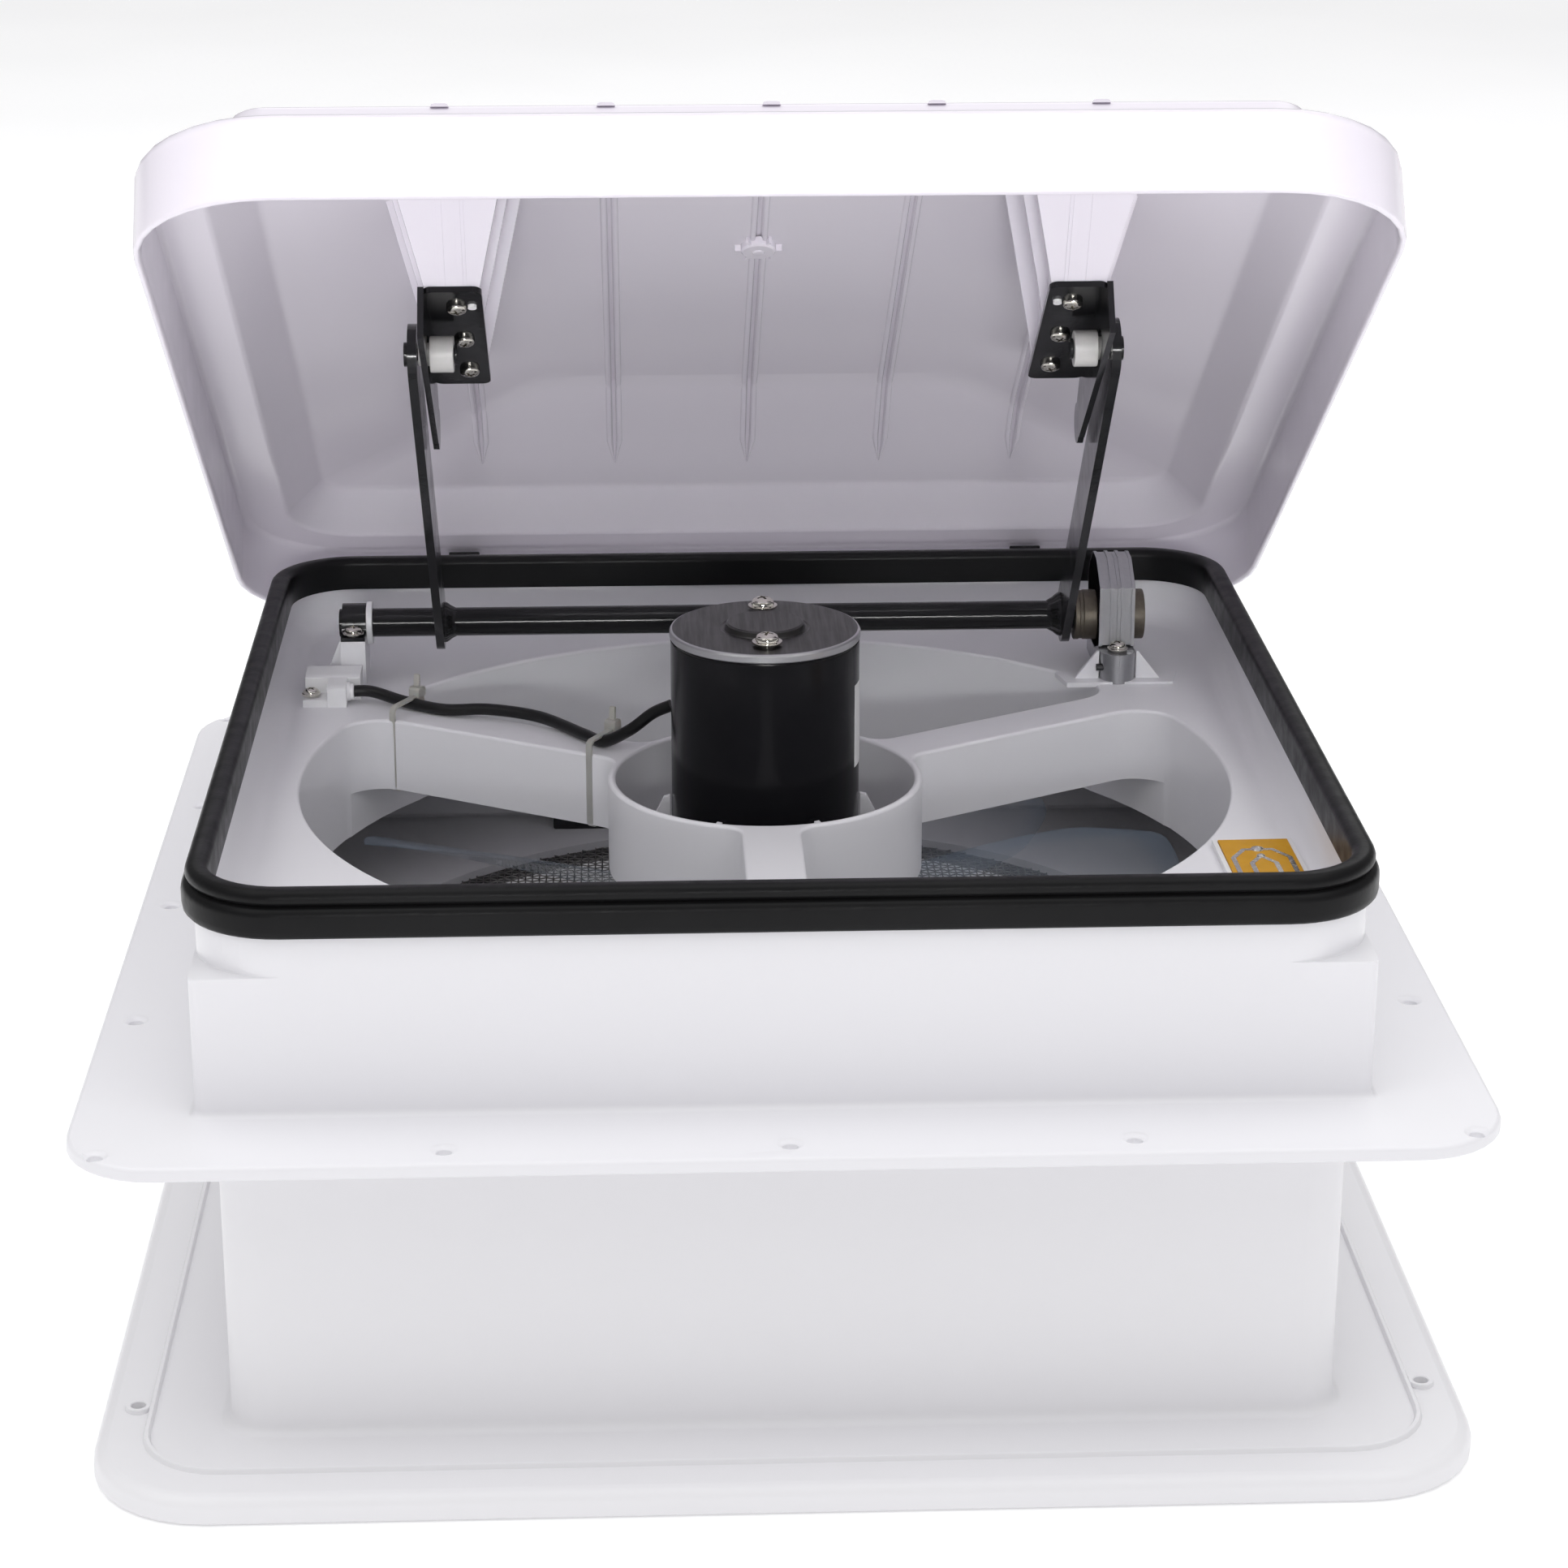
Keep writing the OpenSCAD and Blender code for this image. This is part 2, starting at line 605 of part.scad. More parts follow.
// One blade: a flat pitched paddle, root on the hub, tip on the tip circle
module blade() intersection() {
    translate([0, 0, -60]) tube(blade_tip, fan_hub_r, 90);
    translate([0, 0, blade_z]) rotate([blade_pitch, 0, 0]) linear_extrude(blade_t, center = true)
        polygon([[40, -10.5], [60, -14], [85, -18.5], [110, -21], [130, -19], [148, -11], [155, -6],
                 [155, 10], [146, 15], [128, 19], [100, 19], [70, 14], [40, 10]]);
}

module fan_blades() color("#9fb8d0", 0.45)
    for (i = [0:blade_n - 1]) rotate(i * 360 / blade_n + 11) blade();

module fan_nut() color("silver") translate([0, 0, -19]) difference() {
    union() {
        cylinder(r = 7.5, h = 5, $fn = 6);
        translate([0, 0, 5]) cylinder(r = 8, h = 1);
    }
    translate([0, 0, -1]) cylinder(r = 4, h = 8);
}

// ---- Wiring ----

// Cable from the cable box to the motor, laid along the left spoke
cable_path = [[-147, 84, 53.5], [-139, 84, 53.5], [-127, 77, 51.3], [-104, 66, 51.3],
              [-78, 57, 51.3], [-62, 38, 51.3], [-55, 30, 51.4], [-46, 26, 57], [-38, 24, 63]];

module motor_cable() color("#0e0e0e") for (i = [0:len(cable_path) - 2])
    hull() for (p = [cable_path[i], cable_path[i + 1]]) translate(p) sphere(r = 2.1, $fn = 16);

module tie(r) rotate(150) translate([r, 0, deck_z]) {
    difference() {
        translate([-1.3, -11.1, -spoke_h - 1.4]) cube([2.6, 22.2, spoke_h + 6.4]);
        translate([-2, -9.8, -spoke_h]) cube([4, 19.6, spoke_h + 4.7]);
    }
    translate([-2, -9, 5]) cube([4, 4.4, 3]);
    translate([-1, -7, 8]) cube([2, 1.2, 5]);
}

module cable_ties() color("#ece9df") { tie(145); tie(64); }

// ---- Rain sensor ----

module rain_place() translate([155.3, -100, deck_z]) rotate(1) children();

module rain_frame() color("white") rain_place() difference() {
    linear_extrude(2) square([26, 48], center = true);
    translate([0, 0, 0.8]) linear_extrude(2) square([22.8, 45.2], center = true);
}

module rain_board() color("#c8920f") rain_place() translate([0, 0, 0.8]) linear_extrude(1.6) square([22.6, 45], center = true);

// Arch of conductor: half-width w, shoulder height h, slope width c, peak height p
module rain_loop(w, h, c, p) difference() {
    polygon([[-w, -19], [-w, h], [c - w, p], [w - c, p], [w, h], [w, -19]]);
    polygon([[1.2 - w, -20], [1.2 - w, h - 0.4], [c - w + 0.4, p - 1.2], [w - c - 0.4, p - 1.2],
             [w - 1.2, h - 0.4], [w - 1.2, -20]]);
}

module rain_traces() color("silver") rain_place() translate([0, 0, 2.4]) linear_extrude(0.15) {
    rain_loop(9.7, 5.5, 4.9, 13.4);
    rain_loop(4.5, 0.5, 3.7, 6.6);
}

// ---- Ceiling trim, screen and controls ----

module trim_holes() for (x = [-203, 203], y = [-155, 155]) translate([x, y, 0]) children();

module ceiling_trim() color("white") difference() {
    union() {
        translate([0, 0, trim_z - 3]) slab(trim_w, trim_d, 38, 3);
        translate([0, 0, trim_z - 9]) difference() {
            slab(trim_w, trim_d, 38, 8);
            translate([0, 0, -1]) slab(trim_w - 5, trim_d - 5, 35.5, 10);
        }
        translate([0, 0, trim_z - 3]) slab(neck_w, neck_w, 13, roof_t + 2);
        translate([0, 0, trim_z]) difference() {
            slab(trim_w - 30, trim_d - 30, 26, 1.6);
            translate([0, 0, -1]) slab(trim_w - 34, trim_d - 34, 24, 4);
        }
        trim_holes() translate([0, 0, trim_z - 4.5]) cylinder(d = 8.2, h = 4.5);
    }
    translate([0, 0, screen_z]) slab(neck_w - 5, neck_w - 5, 10.5, roof_t);
    translate([0, 0, trim_z - 10]) slab(neck_w - 5, neck_w - 5, 10.5, screen_z - trim_z + 7);
    translate([0, 0, screen_z - 4]) cylinder(r = 152, h = 6);
    trim_holes() translate([0, 0, trim_z - 10]) cylinder(d = 4.7, h = 12);
    for (x = [-1, 1]) translate([x * 160, 0, screen_z - 8]) cylinder(r = 1.5, h = 10);
}

module screen_frame() color("#2a2a2c") translate([0, 0, screen_z - 5]) difference() {
    cylinder(r = 156, h = 2);
    translate([0, 0, -1]) cylinder(r = 144, h = 4);
}

// Woven screen: two layers of strands inside the shelf opening, resting on the ring
module strands() for (i = [-11:11]) {
    half = sqrt(151 * 151 - i * i * 156.25);
    translate([-half, i * 12.5 - 0.5, 0]) cube([2 * half, 1, 0.5]);
}

module screen_mesh() color("#3a3a3c") translate([0, 0, screen_z - 3]) {
    strands();
    translate([0, 0, 0.52]) rotate(90) strands();
}

// Turn button that holds the screen up
module clip(s) translate([s * 160, 0, screen_z - 7.4]) {
    linear_extrude(2.2) difference() {
        union() {
            circle(4.5);
            translate([s > 0 ? -14 : 0, -3]) square([14, 6]);
        }
        circle(1);
    }
    cylinder(r = 1.42, h = 7);
    translate([0, 0, -1.2]) cylinder(r = 3.4, h = 1.21);
}

module clip_left() color("#e8e8e8") clip(-1);
module clip_right() color("#e8e8e8") clip(1);

module panel_place() translate([0, -163, screen_z - 3]) children();

module panel_bezel() color("#e9e9ea") panel_place() difference() {
    translate([0, 0, -9]) slab(92, 11, 2, 9);
    translate([0, 0, -7.5]) slab(88, 8.4, 1.5, 9);
    for (x = button_x) translate([x, 0, -10]) cylinder(r = 3.1, h = 5);
}

module panel_board() color("#1f5a33") panel_place() translate([0, 0, -1.6]) slab(87, 8, 1, 1.5);

module button(i) panel_place() translate([button_x[i], 0, -10.2]) {
    cylinder(r = 3, h = 5.2);
    translate([0, 0, 3.4]) cylinder(r = 3.7, h = 1);
}

module button_one() color("#cf3b2f") button(0);
module button_two() color("#505356") button(1);
module button_three() color("#505356") button(2);
module button_four() color("#505356") button(3);

// Sealed electronics box on the shelf of the trim
module control_box() color("#1d1d20") translate([-76, 154.5, screen_z]) difference() {
    cube([64, 12, 19]);
    translate([2, 2, 2]) cube([60, 8, 15]);
    translate([32, -1, 12]) rotate([-90, 0, 0]) cylinder(r = 2.5, h = 4);
}

// ---- One node at a time, or the whole fan ----

base_housing();
lid_seal();
hinge_pins();
cable_box();
cable_box_screw();
shaft_clamp();
clamp_screw();
shaft_washer();
gearbox_left();
gearbox_right();
gearbox_screws();
set_screw();
bushing_left();
bushing_right();
lift_motor();
worm();
worm_wheel();
lift_shaft();
arm_left();
arm_right();
weld_beads();
roller_pins();
roller_left();
roller_right();
lid_shell();
hinge_leaves();
bracket_left();
bracket_right();
bracket_screws();
bracket_pegs();
motor_can();
motor_cap();
motor_screws();
motor_label();
motor_magnets();
motor_bearings();
motor_rotor();
motor_shaft();
fan_hub();
fan_blades();
fan_nut();
motor_cable();
cable_ties();
rain_frame();
rain_board();
rain_traces();
ceiling_trim();
screen_frame();
screen_mesh();
clip_left();
clip_right();
panel_bezel();
panel_board();
button_one();
button_two();
button_three();
button_four();
control_box();
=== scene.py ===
import bpy
import bmesh
import json
from math import asin, cos, degrees, pi, radians, sin, sqrt
import random
from mathutils import Matrix, Vector
from mathutils.geometry import tessellate_polygon


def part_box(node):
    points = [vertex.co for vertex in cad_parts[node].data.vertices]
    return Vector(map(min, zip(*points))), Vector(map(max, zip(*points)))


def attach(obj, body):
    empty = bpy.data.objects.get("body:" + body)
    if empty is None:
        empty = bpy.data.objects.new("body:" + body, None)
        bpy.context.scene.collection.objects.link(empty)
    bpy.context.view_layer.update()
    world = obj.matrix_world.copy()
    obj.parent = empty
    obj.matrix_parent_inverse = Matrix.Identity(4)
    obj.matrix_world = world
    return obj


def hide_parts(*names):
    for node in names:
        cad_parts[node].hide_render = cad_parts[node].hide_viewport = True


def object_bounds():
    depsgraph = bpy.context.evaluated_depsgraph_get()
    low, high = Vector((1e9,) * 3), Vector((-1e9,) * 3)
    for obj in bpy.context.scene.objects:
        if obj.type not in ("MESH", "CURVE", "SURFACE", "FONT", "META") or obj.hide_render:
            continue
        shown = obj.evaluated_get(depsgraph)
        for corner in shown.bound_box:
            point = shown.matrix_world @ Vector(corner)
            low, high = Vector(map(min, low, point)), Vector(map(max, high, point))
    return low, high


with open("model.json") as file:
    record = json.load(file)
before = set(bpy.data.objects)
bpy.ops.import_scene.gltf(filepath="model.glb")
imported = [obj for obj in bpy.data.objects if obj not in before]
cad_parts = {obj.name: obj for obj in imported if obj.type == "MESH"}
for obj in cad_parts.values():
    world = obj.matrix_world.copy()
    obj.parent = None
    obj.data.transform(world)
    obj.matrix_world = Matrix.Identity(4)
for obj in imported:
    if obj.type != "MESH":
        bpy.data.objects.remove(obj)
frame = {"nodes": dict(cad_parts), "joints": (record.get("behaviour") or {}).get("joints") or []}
cad_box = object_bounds()
MM = 0.001
NODES = frame["nodes"]
JOINTS = {j["name"]: j for j in frame["joints"]}


def corners(node):
    """CAD node box in millimetres."""
    lo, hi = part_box(node)
    return lo / MM, hi / MM


# ---- Sizes read from the frame, in millimetres ----
base_lo, base_hi = corners("base_housing")
clamp_lo, clamp_hi = corners("shaft_clamp")
seal_lo, seal_hi = corners("lid_seal")
can_lo, can_hi = corners("motor_can")
cap_hi = corners("motor_cap")[1]
shaft_hi = corners("lift_shaft")[1]
trim_lo, trim_hi = corners("ceiling_trim")
ring_hi = corners("screen_frame")[1]
mesh_lo = corners("screen_mesh")[0]
hub_lo, hub_hi = corners("fan_hub")
label_lo, label_hi = corners("motor_label")
HINGE = Vector(JOINTS["lid_hinge"]["pos_m"]) / MM
SHAFT = Vector(JOINTS["lift_turn"]["pos_m"]) / MM
LID_OPEN = radians(JOINTS["lid_hinge"]["range_deg"][1])

FLANGE_W = base_hi.x - base_lo.x
FLANGE_T, FLANGE_R = 4.5, 28.0
BOX_W = seal_hi.x - seal_lo.x - 7.2
BOX_D = seal_hi.y - seal_lo.y - 7.2
WALL = 3.0
IN_W, IN_D = BOX_W - 2 * WALL, BOX_D - 2 * WALL
DECK, DECK_LOW = 49.0, 46.0
UP_Z, UP_R = base_hi.z, 28.0
DUCT_R, DUCT_LOW = 158.0, 7.0
HUB_R, HUB_IN, HUB_LOW, HUB_FLOOR = 53.7, 51.0, 16.5, can_lo.z
SPOKE_HALF, SPOKE_LOW = 9.75, 23.0
LID_W, LID_D, LID_T = 389.0, 385.4, 2.5
SKIRT_H = 28.7
LID_REAR, LID_RIM = 192.7, 51.5  # rear edge and rim height of the shut lid
CROWN_EDGE, CROWN_LOW, CROWN_TOP = 31.5, 15.7, 31.8  # inset of the crown's foot, and heights over the skirt
CROWN_X, CROWN_Y = 80.0, 98.0  # half size of its flat top
SPOKES = (30, 150, 270)
ROOF_PITCH = 102.0  # between flange screws
TRIM_X, TRIM_Y, CLIP_X = 203, 155, 160  # screws of the trim and pivots of the screen clips
RAIL_X = 101  # rails and towers, each side of the middle
CAP_TOP = can_hi.z + 3.0


# ---- Mesh building ----
class Shape:
    """Collects rings of points, in millimetres, into one closed mesh."""

    def __init__(self):
        self.verts, self.faces = [], []

    def ring(self, points):
        start = len(self.verts)
        self.verts += [Vector(p) for p in points]
        return list(range(start, start + len(points)))

    def bridge(self, a, b, closed=True):
        n = len(a)
        for i in range(n if closed else n - 1):
            j = (i + 1) % n
            self.faces.append((a[i], a[j], b[j], b[i]))

    def chain(self, rings, closed=True):
        for a, b in zip(rings, rings[1:]):
            self.bridge(a, b, closed)

    def fill(self, outer, *holes):
        """Flat face with holes."""
        loops = [outer, *holes]
        flat = [i for loop in loops for i in loop]
        for tri in tessellate_polygon([[self.verts[i] for i in loop] for loop in loops]):
            self.faces.append(tuple(flat[t] for t in tri))

    def loft(self, rings):
        """Solid through a list of rings, closed at both ends."""
        self.chain(rings)
        self.fill(rings[0])
        self.fill(rings[-1])
        return self

    def rect(self, *size, **more):
        """Ring in the shape of a rounded rectangle."""
        return self.ring(rrect(*size, **more))

    def cap(self, ring, point):
        tip = len(self.verts)
        self.verts.append(Vector(point))
        n = len(ring)
        for i in range(n):
            self.faces.append((ring[i], ring[(i + 1) % n], tip))

    def add(self, other):
        k = len(self.verts)
        self.verts += other.verts
        self.faces += [tuple(i + k for i in f) for f in other.faces]
        return self

    def moved(self, matrix):
        self.verts = [matrix @ v for v in self.verts]
        return self

    def to_mesh(self, name):
        mesh = bpy.data.meshes.new(name)
        mesh.from_pydata([v * MM for v in self.verts], [], self.faces)
        bm = bmesh.new()
        bm.from_mesh(mesh)
        bmesh.ops.remove_doubles(bm, verts=bm.verts, dist=1e-6)
        bmesh.ops.dissolve_degenerate(bm, edges=bm.edges, dist=1e-7)
        bmesh.ops.recalc_face_normals(bm, faces=bm.faces)
        bm.to_mesh(mesh)
        bm.free()
        return mesh


def as_object(shape, name):
    obj = bpy.data.objects.new(name, shape.to_mesh(name))
    bpy.context.scene.collection.objects.link(obj)
    return obj


def apply_modifiers(obj):
    deps = bpy.context.evaluated_depsgraph_get()
    mesh = bpy.data.meshes.new_from_object(obj.evaluated_get(deps))
    obj.modifiers.clear()
    obj.data = mesh
    return obj


def cut(obj, shape):
    """Take a closed shape out of an object."""
    tool = as_object(shape, "cutter")
    mod = obj.modifiers.new("cut", "BOOLEAN")
    mod.operation, mod.solver, mod.object = "DIFFERENCE", "EXACT", tool
    bpy.context.view_layer.update()
    apply_modifiers(obj)
    bpy.data.objects.remove(tool)
    return obj


def smooth(obj, angle=38, weighted=True):
    mesh = obj.data
    mesh.polygons.foreach_set("use_smooth", [True] * len(mesh.polygons))
    mesh.set_sharp_from_angle(angle=radians(angle))
    if weighted:
        mod = obj.modifiers.new("normals", "WEIGHTED_NORMAL")
        mod.keep_sharp = True
        mod.weight = 90
    return obj


def round_edges(obj, width, angle=32, segments=3):
    mod = obj.modifiers.new("round", "BEVEL")
    mod.width, mod.segments = width * MM, segments
    mod.limit_method, mod.angle_limit = "ANGLE", radians(angle)
    mod.use_clamp_overlap = True
    return obj


def rrect(w, d, r, z, side=14, arc=8, cx=0.0, cy=0.0):
    """Rounded rectangle, counter-clockwise, with a fixed number of points."""
    pts = []
    for q in range(4):
        sx, sy = ((1, 1), (-1, 1), (-1, -1), (1, -1))[q]
        ox, oy = sx * (w / 2 - r), sy * (d / 2 - r)
        for i in range(arc + 1):
            a = radians(90 * q + 90 * i / arc)
            pts.append(Vector((cx + ox + r * cos(a), cy + oy + r * sin(a), z)))
        nx, ny = ((-1, 1), (-1, -1), (1, -1), (1, 1))[q]
        ex, ey = cx + nx * (w / 2 - r), cy + ny * (d / 2 - r)
        a = radians(90 * (q + 1))
        end = Vector((ex + r * cos(a), ey + r * sin(a), z))
        first = pts[-1]
        for i in range(1, side):
            pts.append(first.lerp(end, i / side))
    return pts


def circle(r, z, n=96, cx=0.0, cy=0.0, start=0.0):
    return [Vector((cx + r * cos(start + 2 * pi * i / n),
                    cy + r * sin(start + 2 * pi * i / n), z)) for i in range(n)]


def arc_points(cx, cy, r, degrees):
    """Points on a circle at the given angles, in a plane."""
    return [(cx + r * cos(radians(a)), cy + r * sin(radians(a))) for a in degrees]


def quarter(n=4):
    """Angles through a quarter turn."""
    return [pi / 2 * i / n for i in range(n + 1)]


def lathe(profile, n=64, cx=0.0, cy=0.0):
    """Closed solid of revolution: profile of (radius, z) with both ends on the axis or looped."""
    s = Shape()
    rings, tips = [], []
    for r, z in profile:
        if r < 1e-6:
            tips.append((len(rings), z))
        else:
            rings.append(s.ring(circle(r, z, n, cx, cy)))
    s.chain(rings)
    if tips:
        s.cap(list(reversed(rings[0])), (cx, cy, tips[0][1]))
        s.cap(rings[-1], (cx, cy, tips[-1][1]))
    else:
        s.bridge(rings[-1], rings[0])
    return s


def prism(outline, axis, low, high):
    """Extruded outline. axis x: points are (y, z); axis y: (x, z); axis z: (x, y)."""
    def place(p, t):
        return {"x": (t, p[0], p[1]), "y": (p[0], t, p[1]), "z": (p[0], p[1], t)}[axis]
    s = Shape()
    return s.loft([s.ring([place(p, t) for p in outline]) for t in (low, high)])


def block(x0, x1, y0, y1, z0, z1):
    return prism([(x0, y0), (x1, y0), (x1, y1), (x0, y1)], "z", z0, z1)


def sweep(path, radius, n=12, flat=1.0, up=(0, 0, 1)):
    """Round or flattened tube along a list of points, with rounded ends."""
    s = Shape()
    pts = [Vector(p) for p in path]
    rings = []
    normal = Vector(up)
    for i, p in enumerate(pts):
        t = (pts[min(i + 1, len(pts) - 1)] - pts[max(i - 1, 0)]).normalized()
        normal = (normal - t * normal.dot(t)).normalized()
        side = t.cross(normal)
        rings.append(s.ring([p + radius * (cos(a) * side + flat * sin(a) * normal)
                             for a in (2 * pi * k / n for k in range(n))]))
    s.chain(rings)
    s.cap(list(reversed(rings[0])), pts[0])
    s.cap(rings[-1], pts[-1])
    return s


def spline(points, steps=10):
    """Catmull-Rom curve through the points."""
    p = [Vector(q) for q in points]
    p = [2 * p[0] - p[1], *p, 2 * p[-1] - p[-2]]
    out = []
    for i in range(1, len(p) - 2):
        for k in range(steps):
            t = k / steps
            out.append(0.5 * (2 * p[i] + (p[i + 1] - p[i - 1]) * t
                              + (2 * p[i - 1] - 5 * p[i] + 4 * p[i + 1] - p[i + 2]) * t * t
                              + (3 * p[i] - p[i - 1] - 3 * p[i + 1] + p[i + 2]) * t ** 3))
    out.append(p[-2])
    return out


def turn(axis, degrees):
    return Matrix.Rotation(radians(degrees), 4, axis)


def shift(x, y, z):
    return Matrix.Translation((x, y, z))


def place_at(obj, matrix):
    """Move a mesh by a matrix stated in millimetres."""
    obj.data.transform(Matrix.Scale(MM, 4) @ matrix @ Matrix.Scale(1 / MM, 4))


def rounded(shape, name, width, angle=32, segments=3, smooth_angle=38):
    obj = as_object(shape, name)
    round_edges(obj, width, angle, segments)
    apply_modifiers(obj)
    return smooth(obj, smooth_angle)


# ---- Materials ----
class Finish:
    """Procedural material built from a Principled shader."""

    def __init__(self, name, color, rough, metallic=0.0):
        self.mat = bpy.data.materials.new(name)
        self.mat.use_nodes = True
        self.tree = self.mat.node_tree
        self.bsdf = self.tree.nodes["Principled BSDF"]
        self.bsdf.inputs["Roughness"].default_value = rough
        self.bsdf.inputs["Metallic"].default_value = metallic
        self.color, self.rough = (*color, 1.0), rough
        self.bsdf.inputs["Base Color"].default_value = self.color
        self.coord = self.node("ShaderNodeTexCoord").outputs["Object"]
        self.mat.diffuse_color = self.color

    def node(self, kind, **values):
        n = self.tree.nodes.new(kind)
        for key, value in values.items():
            n.inputs[key].default_value = value
        return n

    def link(self, a, b):
        self.tree.links.new(a, b)

    def noise(self, scale, detail=3.0, stretch=None, distortion=0.0):
        n = self.node("ShaderNodeTexNoise", Scale=scale, Detail=detail, Distortion=distortion)
        if stretch:
            m = self.node("ShaderNodeMapping", Scale=stretch)
            self.link(self.coord, m.inputs["Vector"])
            self.link(m.outputs["Vector"], n.inputs["Vector"])
        else:
            self.link(self.coord, n.inputs["Vector"])
        return n.outputs["Fac"]

    def ramp(self, source, low, high, to_low=0.0, to_high=1.0):
        r = self.node("ShaderNodeMapRange")
        r.clamp = True
        for key, value in (("From Min", low), ("From Max", high), ("To Min", to_low), ("To Max", to_high)):
            r.inputs[key].default_value = value
        self.link(source, r.inputs["Value"])
        return r.outputs["Result"]

    def mix(self, factor, b, a=None):
        """Mix colour b over the current base colour by factor."""
        m = self.tree.nodes.new("ShaderNodeMix")
        m.data_type = "RGBA"
        socket = self.bsdf.inputs["Base Color"]
        if socket.is_linked:
            self.link(socket.links[0].from_socket, m.inputs[6])
        else:
            m.inputs[6].default_value = a or self.color
        m.inputs[7].default_value = (*b, 1.0)
        self.link(factor, m.inputs[0])
        self.link(m.outputs[2], socket)
        return self

    def mottle(self, scale, amount, dark, stretch=None, detail=3):
        """Slow colour variation."""
        return self.mix(self.ramp(self.noise(scale, detail, stretch), 0.2, 0.85, 0.0, amount), dark)

    def gloss(self, scale, spread, stretch=None, detail=5):
        """Roughness that varies over the surface."""
        out = self.ramp(self.noise(scale, detail, stretch), 0.3, 0.75,
                        max(0.02, self.rough - spread), self.rough + spread)
        self.link(out, self.bsdf.inputs["Roughness"])
        return self

    def bump(self, scale, strength, distance, detail=3.0, stretch=None, source=None):
        b = self.node("ShaderNodeBump", Strength=strength, Distance=distance)
        old = self.bsdf.inputs["Normal"]
        if old.is_linked:
            self.link(old.links[0].from_socket, b.inputs["Normal"])
        self.link(source or self.noise(scale, detail, stretch), b.inputs["Height"])
        self.link(b.outputs["Normal"], old)
        return self

    def edges(self, color, amount, low=0.51, high=0.56):
        """Lighter or darker colour where the surface turns outward."""
        point = self.node("ShaderNodeNewGeometry").outputs["Pointiness"]
        return self.mix(self.ramp(point, low, high, 0.0, amount), color)

    def outside(self, radius, color):
        """Another colour beyond a distance, in millimetres, from the fan's axis."""
        flat = self.tree.nodes.new("ShaderNodeVectorMath")
        flat.operation = "MULTIPLY"
        flat.inputs[1].default_value = (1, 1, 0)
        self.link(self.coord, flat.inputs[0])
        far = self.tree.nodes.new("ShaderNodeVectorMath")
        far.operation = "LENGTH"
        self.link(flat.outputs["Vector"], far.inputs[0])
        return self.mix(self.ramp(far.outputs["Value"], (radius - 0.1) * MM, (radius + 0.1) * MM), color)

    def set(self, **values):
        for key, value in values.items():
            self.bsdf.inputs[key.replace("_", " ")].default_value = value
        return self


def plastic(name, color, rough, dark, peel=0.02):
    """Moulded plastic: slow colour drift, polish that varies, and a faint long-wave ripple."""
    f = Finish(name, color, rough).mottle(1.3, 0.25, dark, detail=0).gloss(60, 0.02, detail=1)
    f.bump(55, peel, 0.001, 1)
    return f.mat


def steel(name, color, rough, brush=None, scale=900):
    f = Finish(name, color, rough, 1.0).gloss(scale, 0.08, brush).mottle(40, 0.4, [c * 0.7 for c in color])
    f.bump(scale, 0.06, 0.0001, 4, brush)
    return f.mat


M = {}
M["housing"] = plastic("abs_white_base", (0.83, 0.825, 0.85), 0.34, (0.78, 0.775, 0.81))
M["lid"] = plastic("abs_white_lid", (0.755, 0.72, 0.785), 0.20, (0.705, 0.67, 0.735))
M["trim"] = plastic("abs_white_trim", (0.84, 0.835, 0.85), 0.34, (0.79, 0.785, 0.81))
M["small"] = plastic("nylon_white", (0.82, 0.82, 0.83), 0.38, (0.74, 0.74, 0.76), 0.05)
M["rubber"] = (Finish("seal_rubber_black", (0.006, 0.006, 0.0065), 0.37).gloss(160, 0.07)
               .mottle(30, 0.6, (0.012, 0.012, 0.0125)).bump(700, 0.12, 0.0003, 4).bump(18, 0.08, 0.002, 1)
               .set(Specular_IOR_Level=0.16)).mat
M["paint"] = (Finish("black_paint_gloss", (0.004, 0.004, 0.0045), 0.17).gloss(120, 0.06)
              .mottle(60, 0.5, (0.008, 0.008, 0.009)).bump(420, 0.10, 0.0003, 2)
              .edges((0.03, 0.03, 0.033), 0.4).set(Specular_IOR_Level=0.28)).mat
M["can"] = (Finish("motor_paint_black", (0.004, 0.004, 0.005), 0.22).gloss(300, 0.04, (1, 1, 0.06))
            .mottle(50, 0.5, (0.008, 0.008, 0.010)).bump(600, 0.05, 0.0002, 2).set(Specular_IOR_Level=0.22)).mat
M["cap"] = (Finish("cap_brushed_steel", (0.11, 0.108, 0.106), 0.38, 1.0).gloss(700, 0.10, (1, 0.05, 1))
            .mottle(160, 0.5, (0.075, 0.074, 0.073)).bump(900, 0.10, 0.0001, 5, (1, 0.05, 1))
            .outside(cap_hi.x - 0.9, (0.60, 0.60, 0.61))).mat
M["screw"] = steel("zinc_screw", (0.82, 0.79, 0.72), 0.16, None, 1200)
M["shaft"] = steel("turned_steel", (0.55, 0.55, 0.56), 0.25, (1, 1, 8))
M["zinc"] = (Finish("die_cast_zinc", (0.36, 0.365, 0.375), 0.40, 0.85).gloss(400, 0.10)
             .mottle(120, 0.6, (0.25, 0.255, 0.265)).bump(650, 0.25, 0.0004, 5)
             .edges((0.6, 0.6, 0.62), 0.6)).mat
M["bronze"] = (Finish("sintered_bronze", (0.20, 0.175, 0.14), 0.5, 0.9).gloss(800, 0.1)
               .mottle(300, 0.7, (0.12, 0.105, 0.09)).bump(1500, 0.25, 0.0002, 4)).mat
M["brass"] = (Finish("gear_brass", (0.62, 0.47, 0.22), 0.3, 1.0).gloss(500, 0.08)
              .mottle(150, 0.5, (0.45, 0.33, 0.15)).bump(900, 0.08, 0.0001)).mat
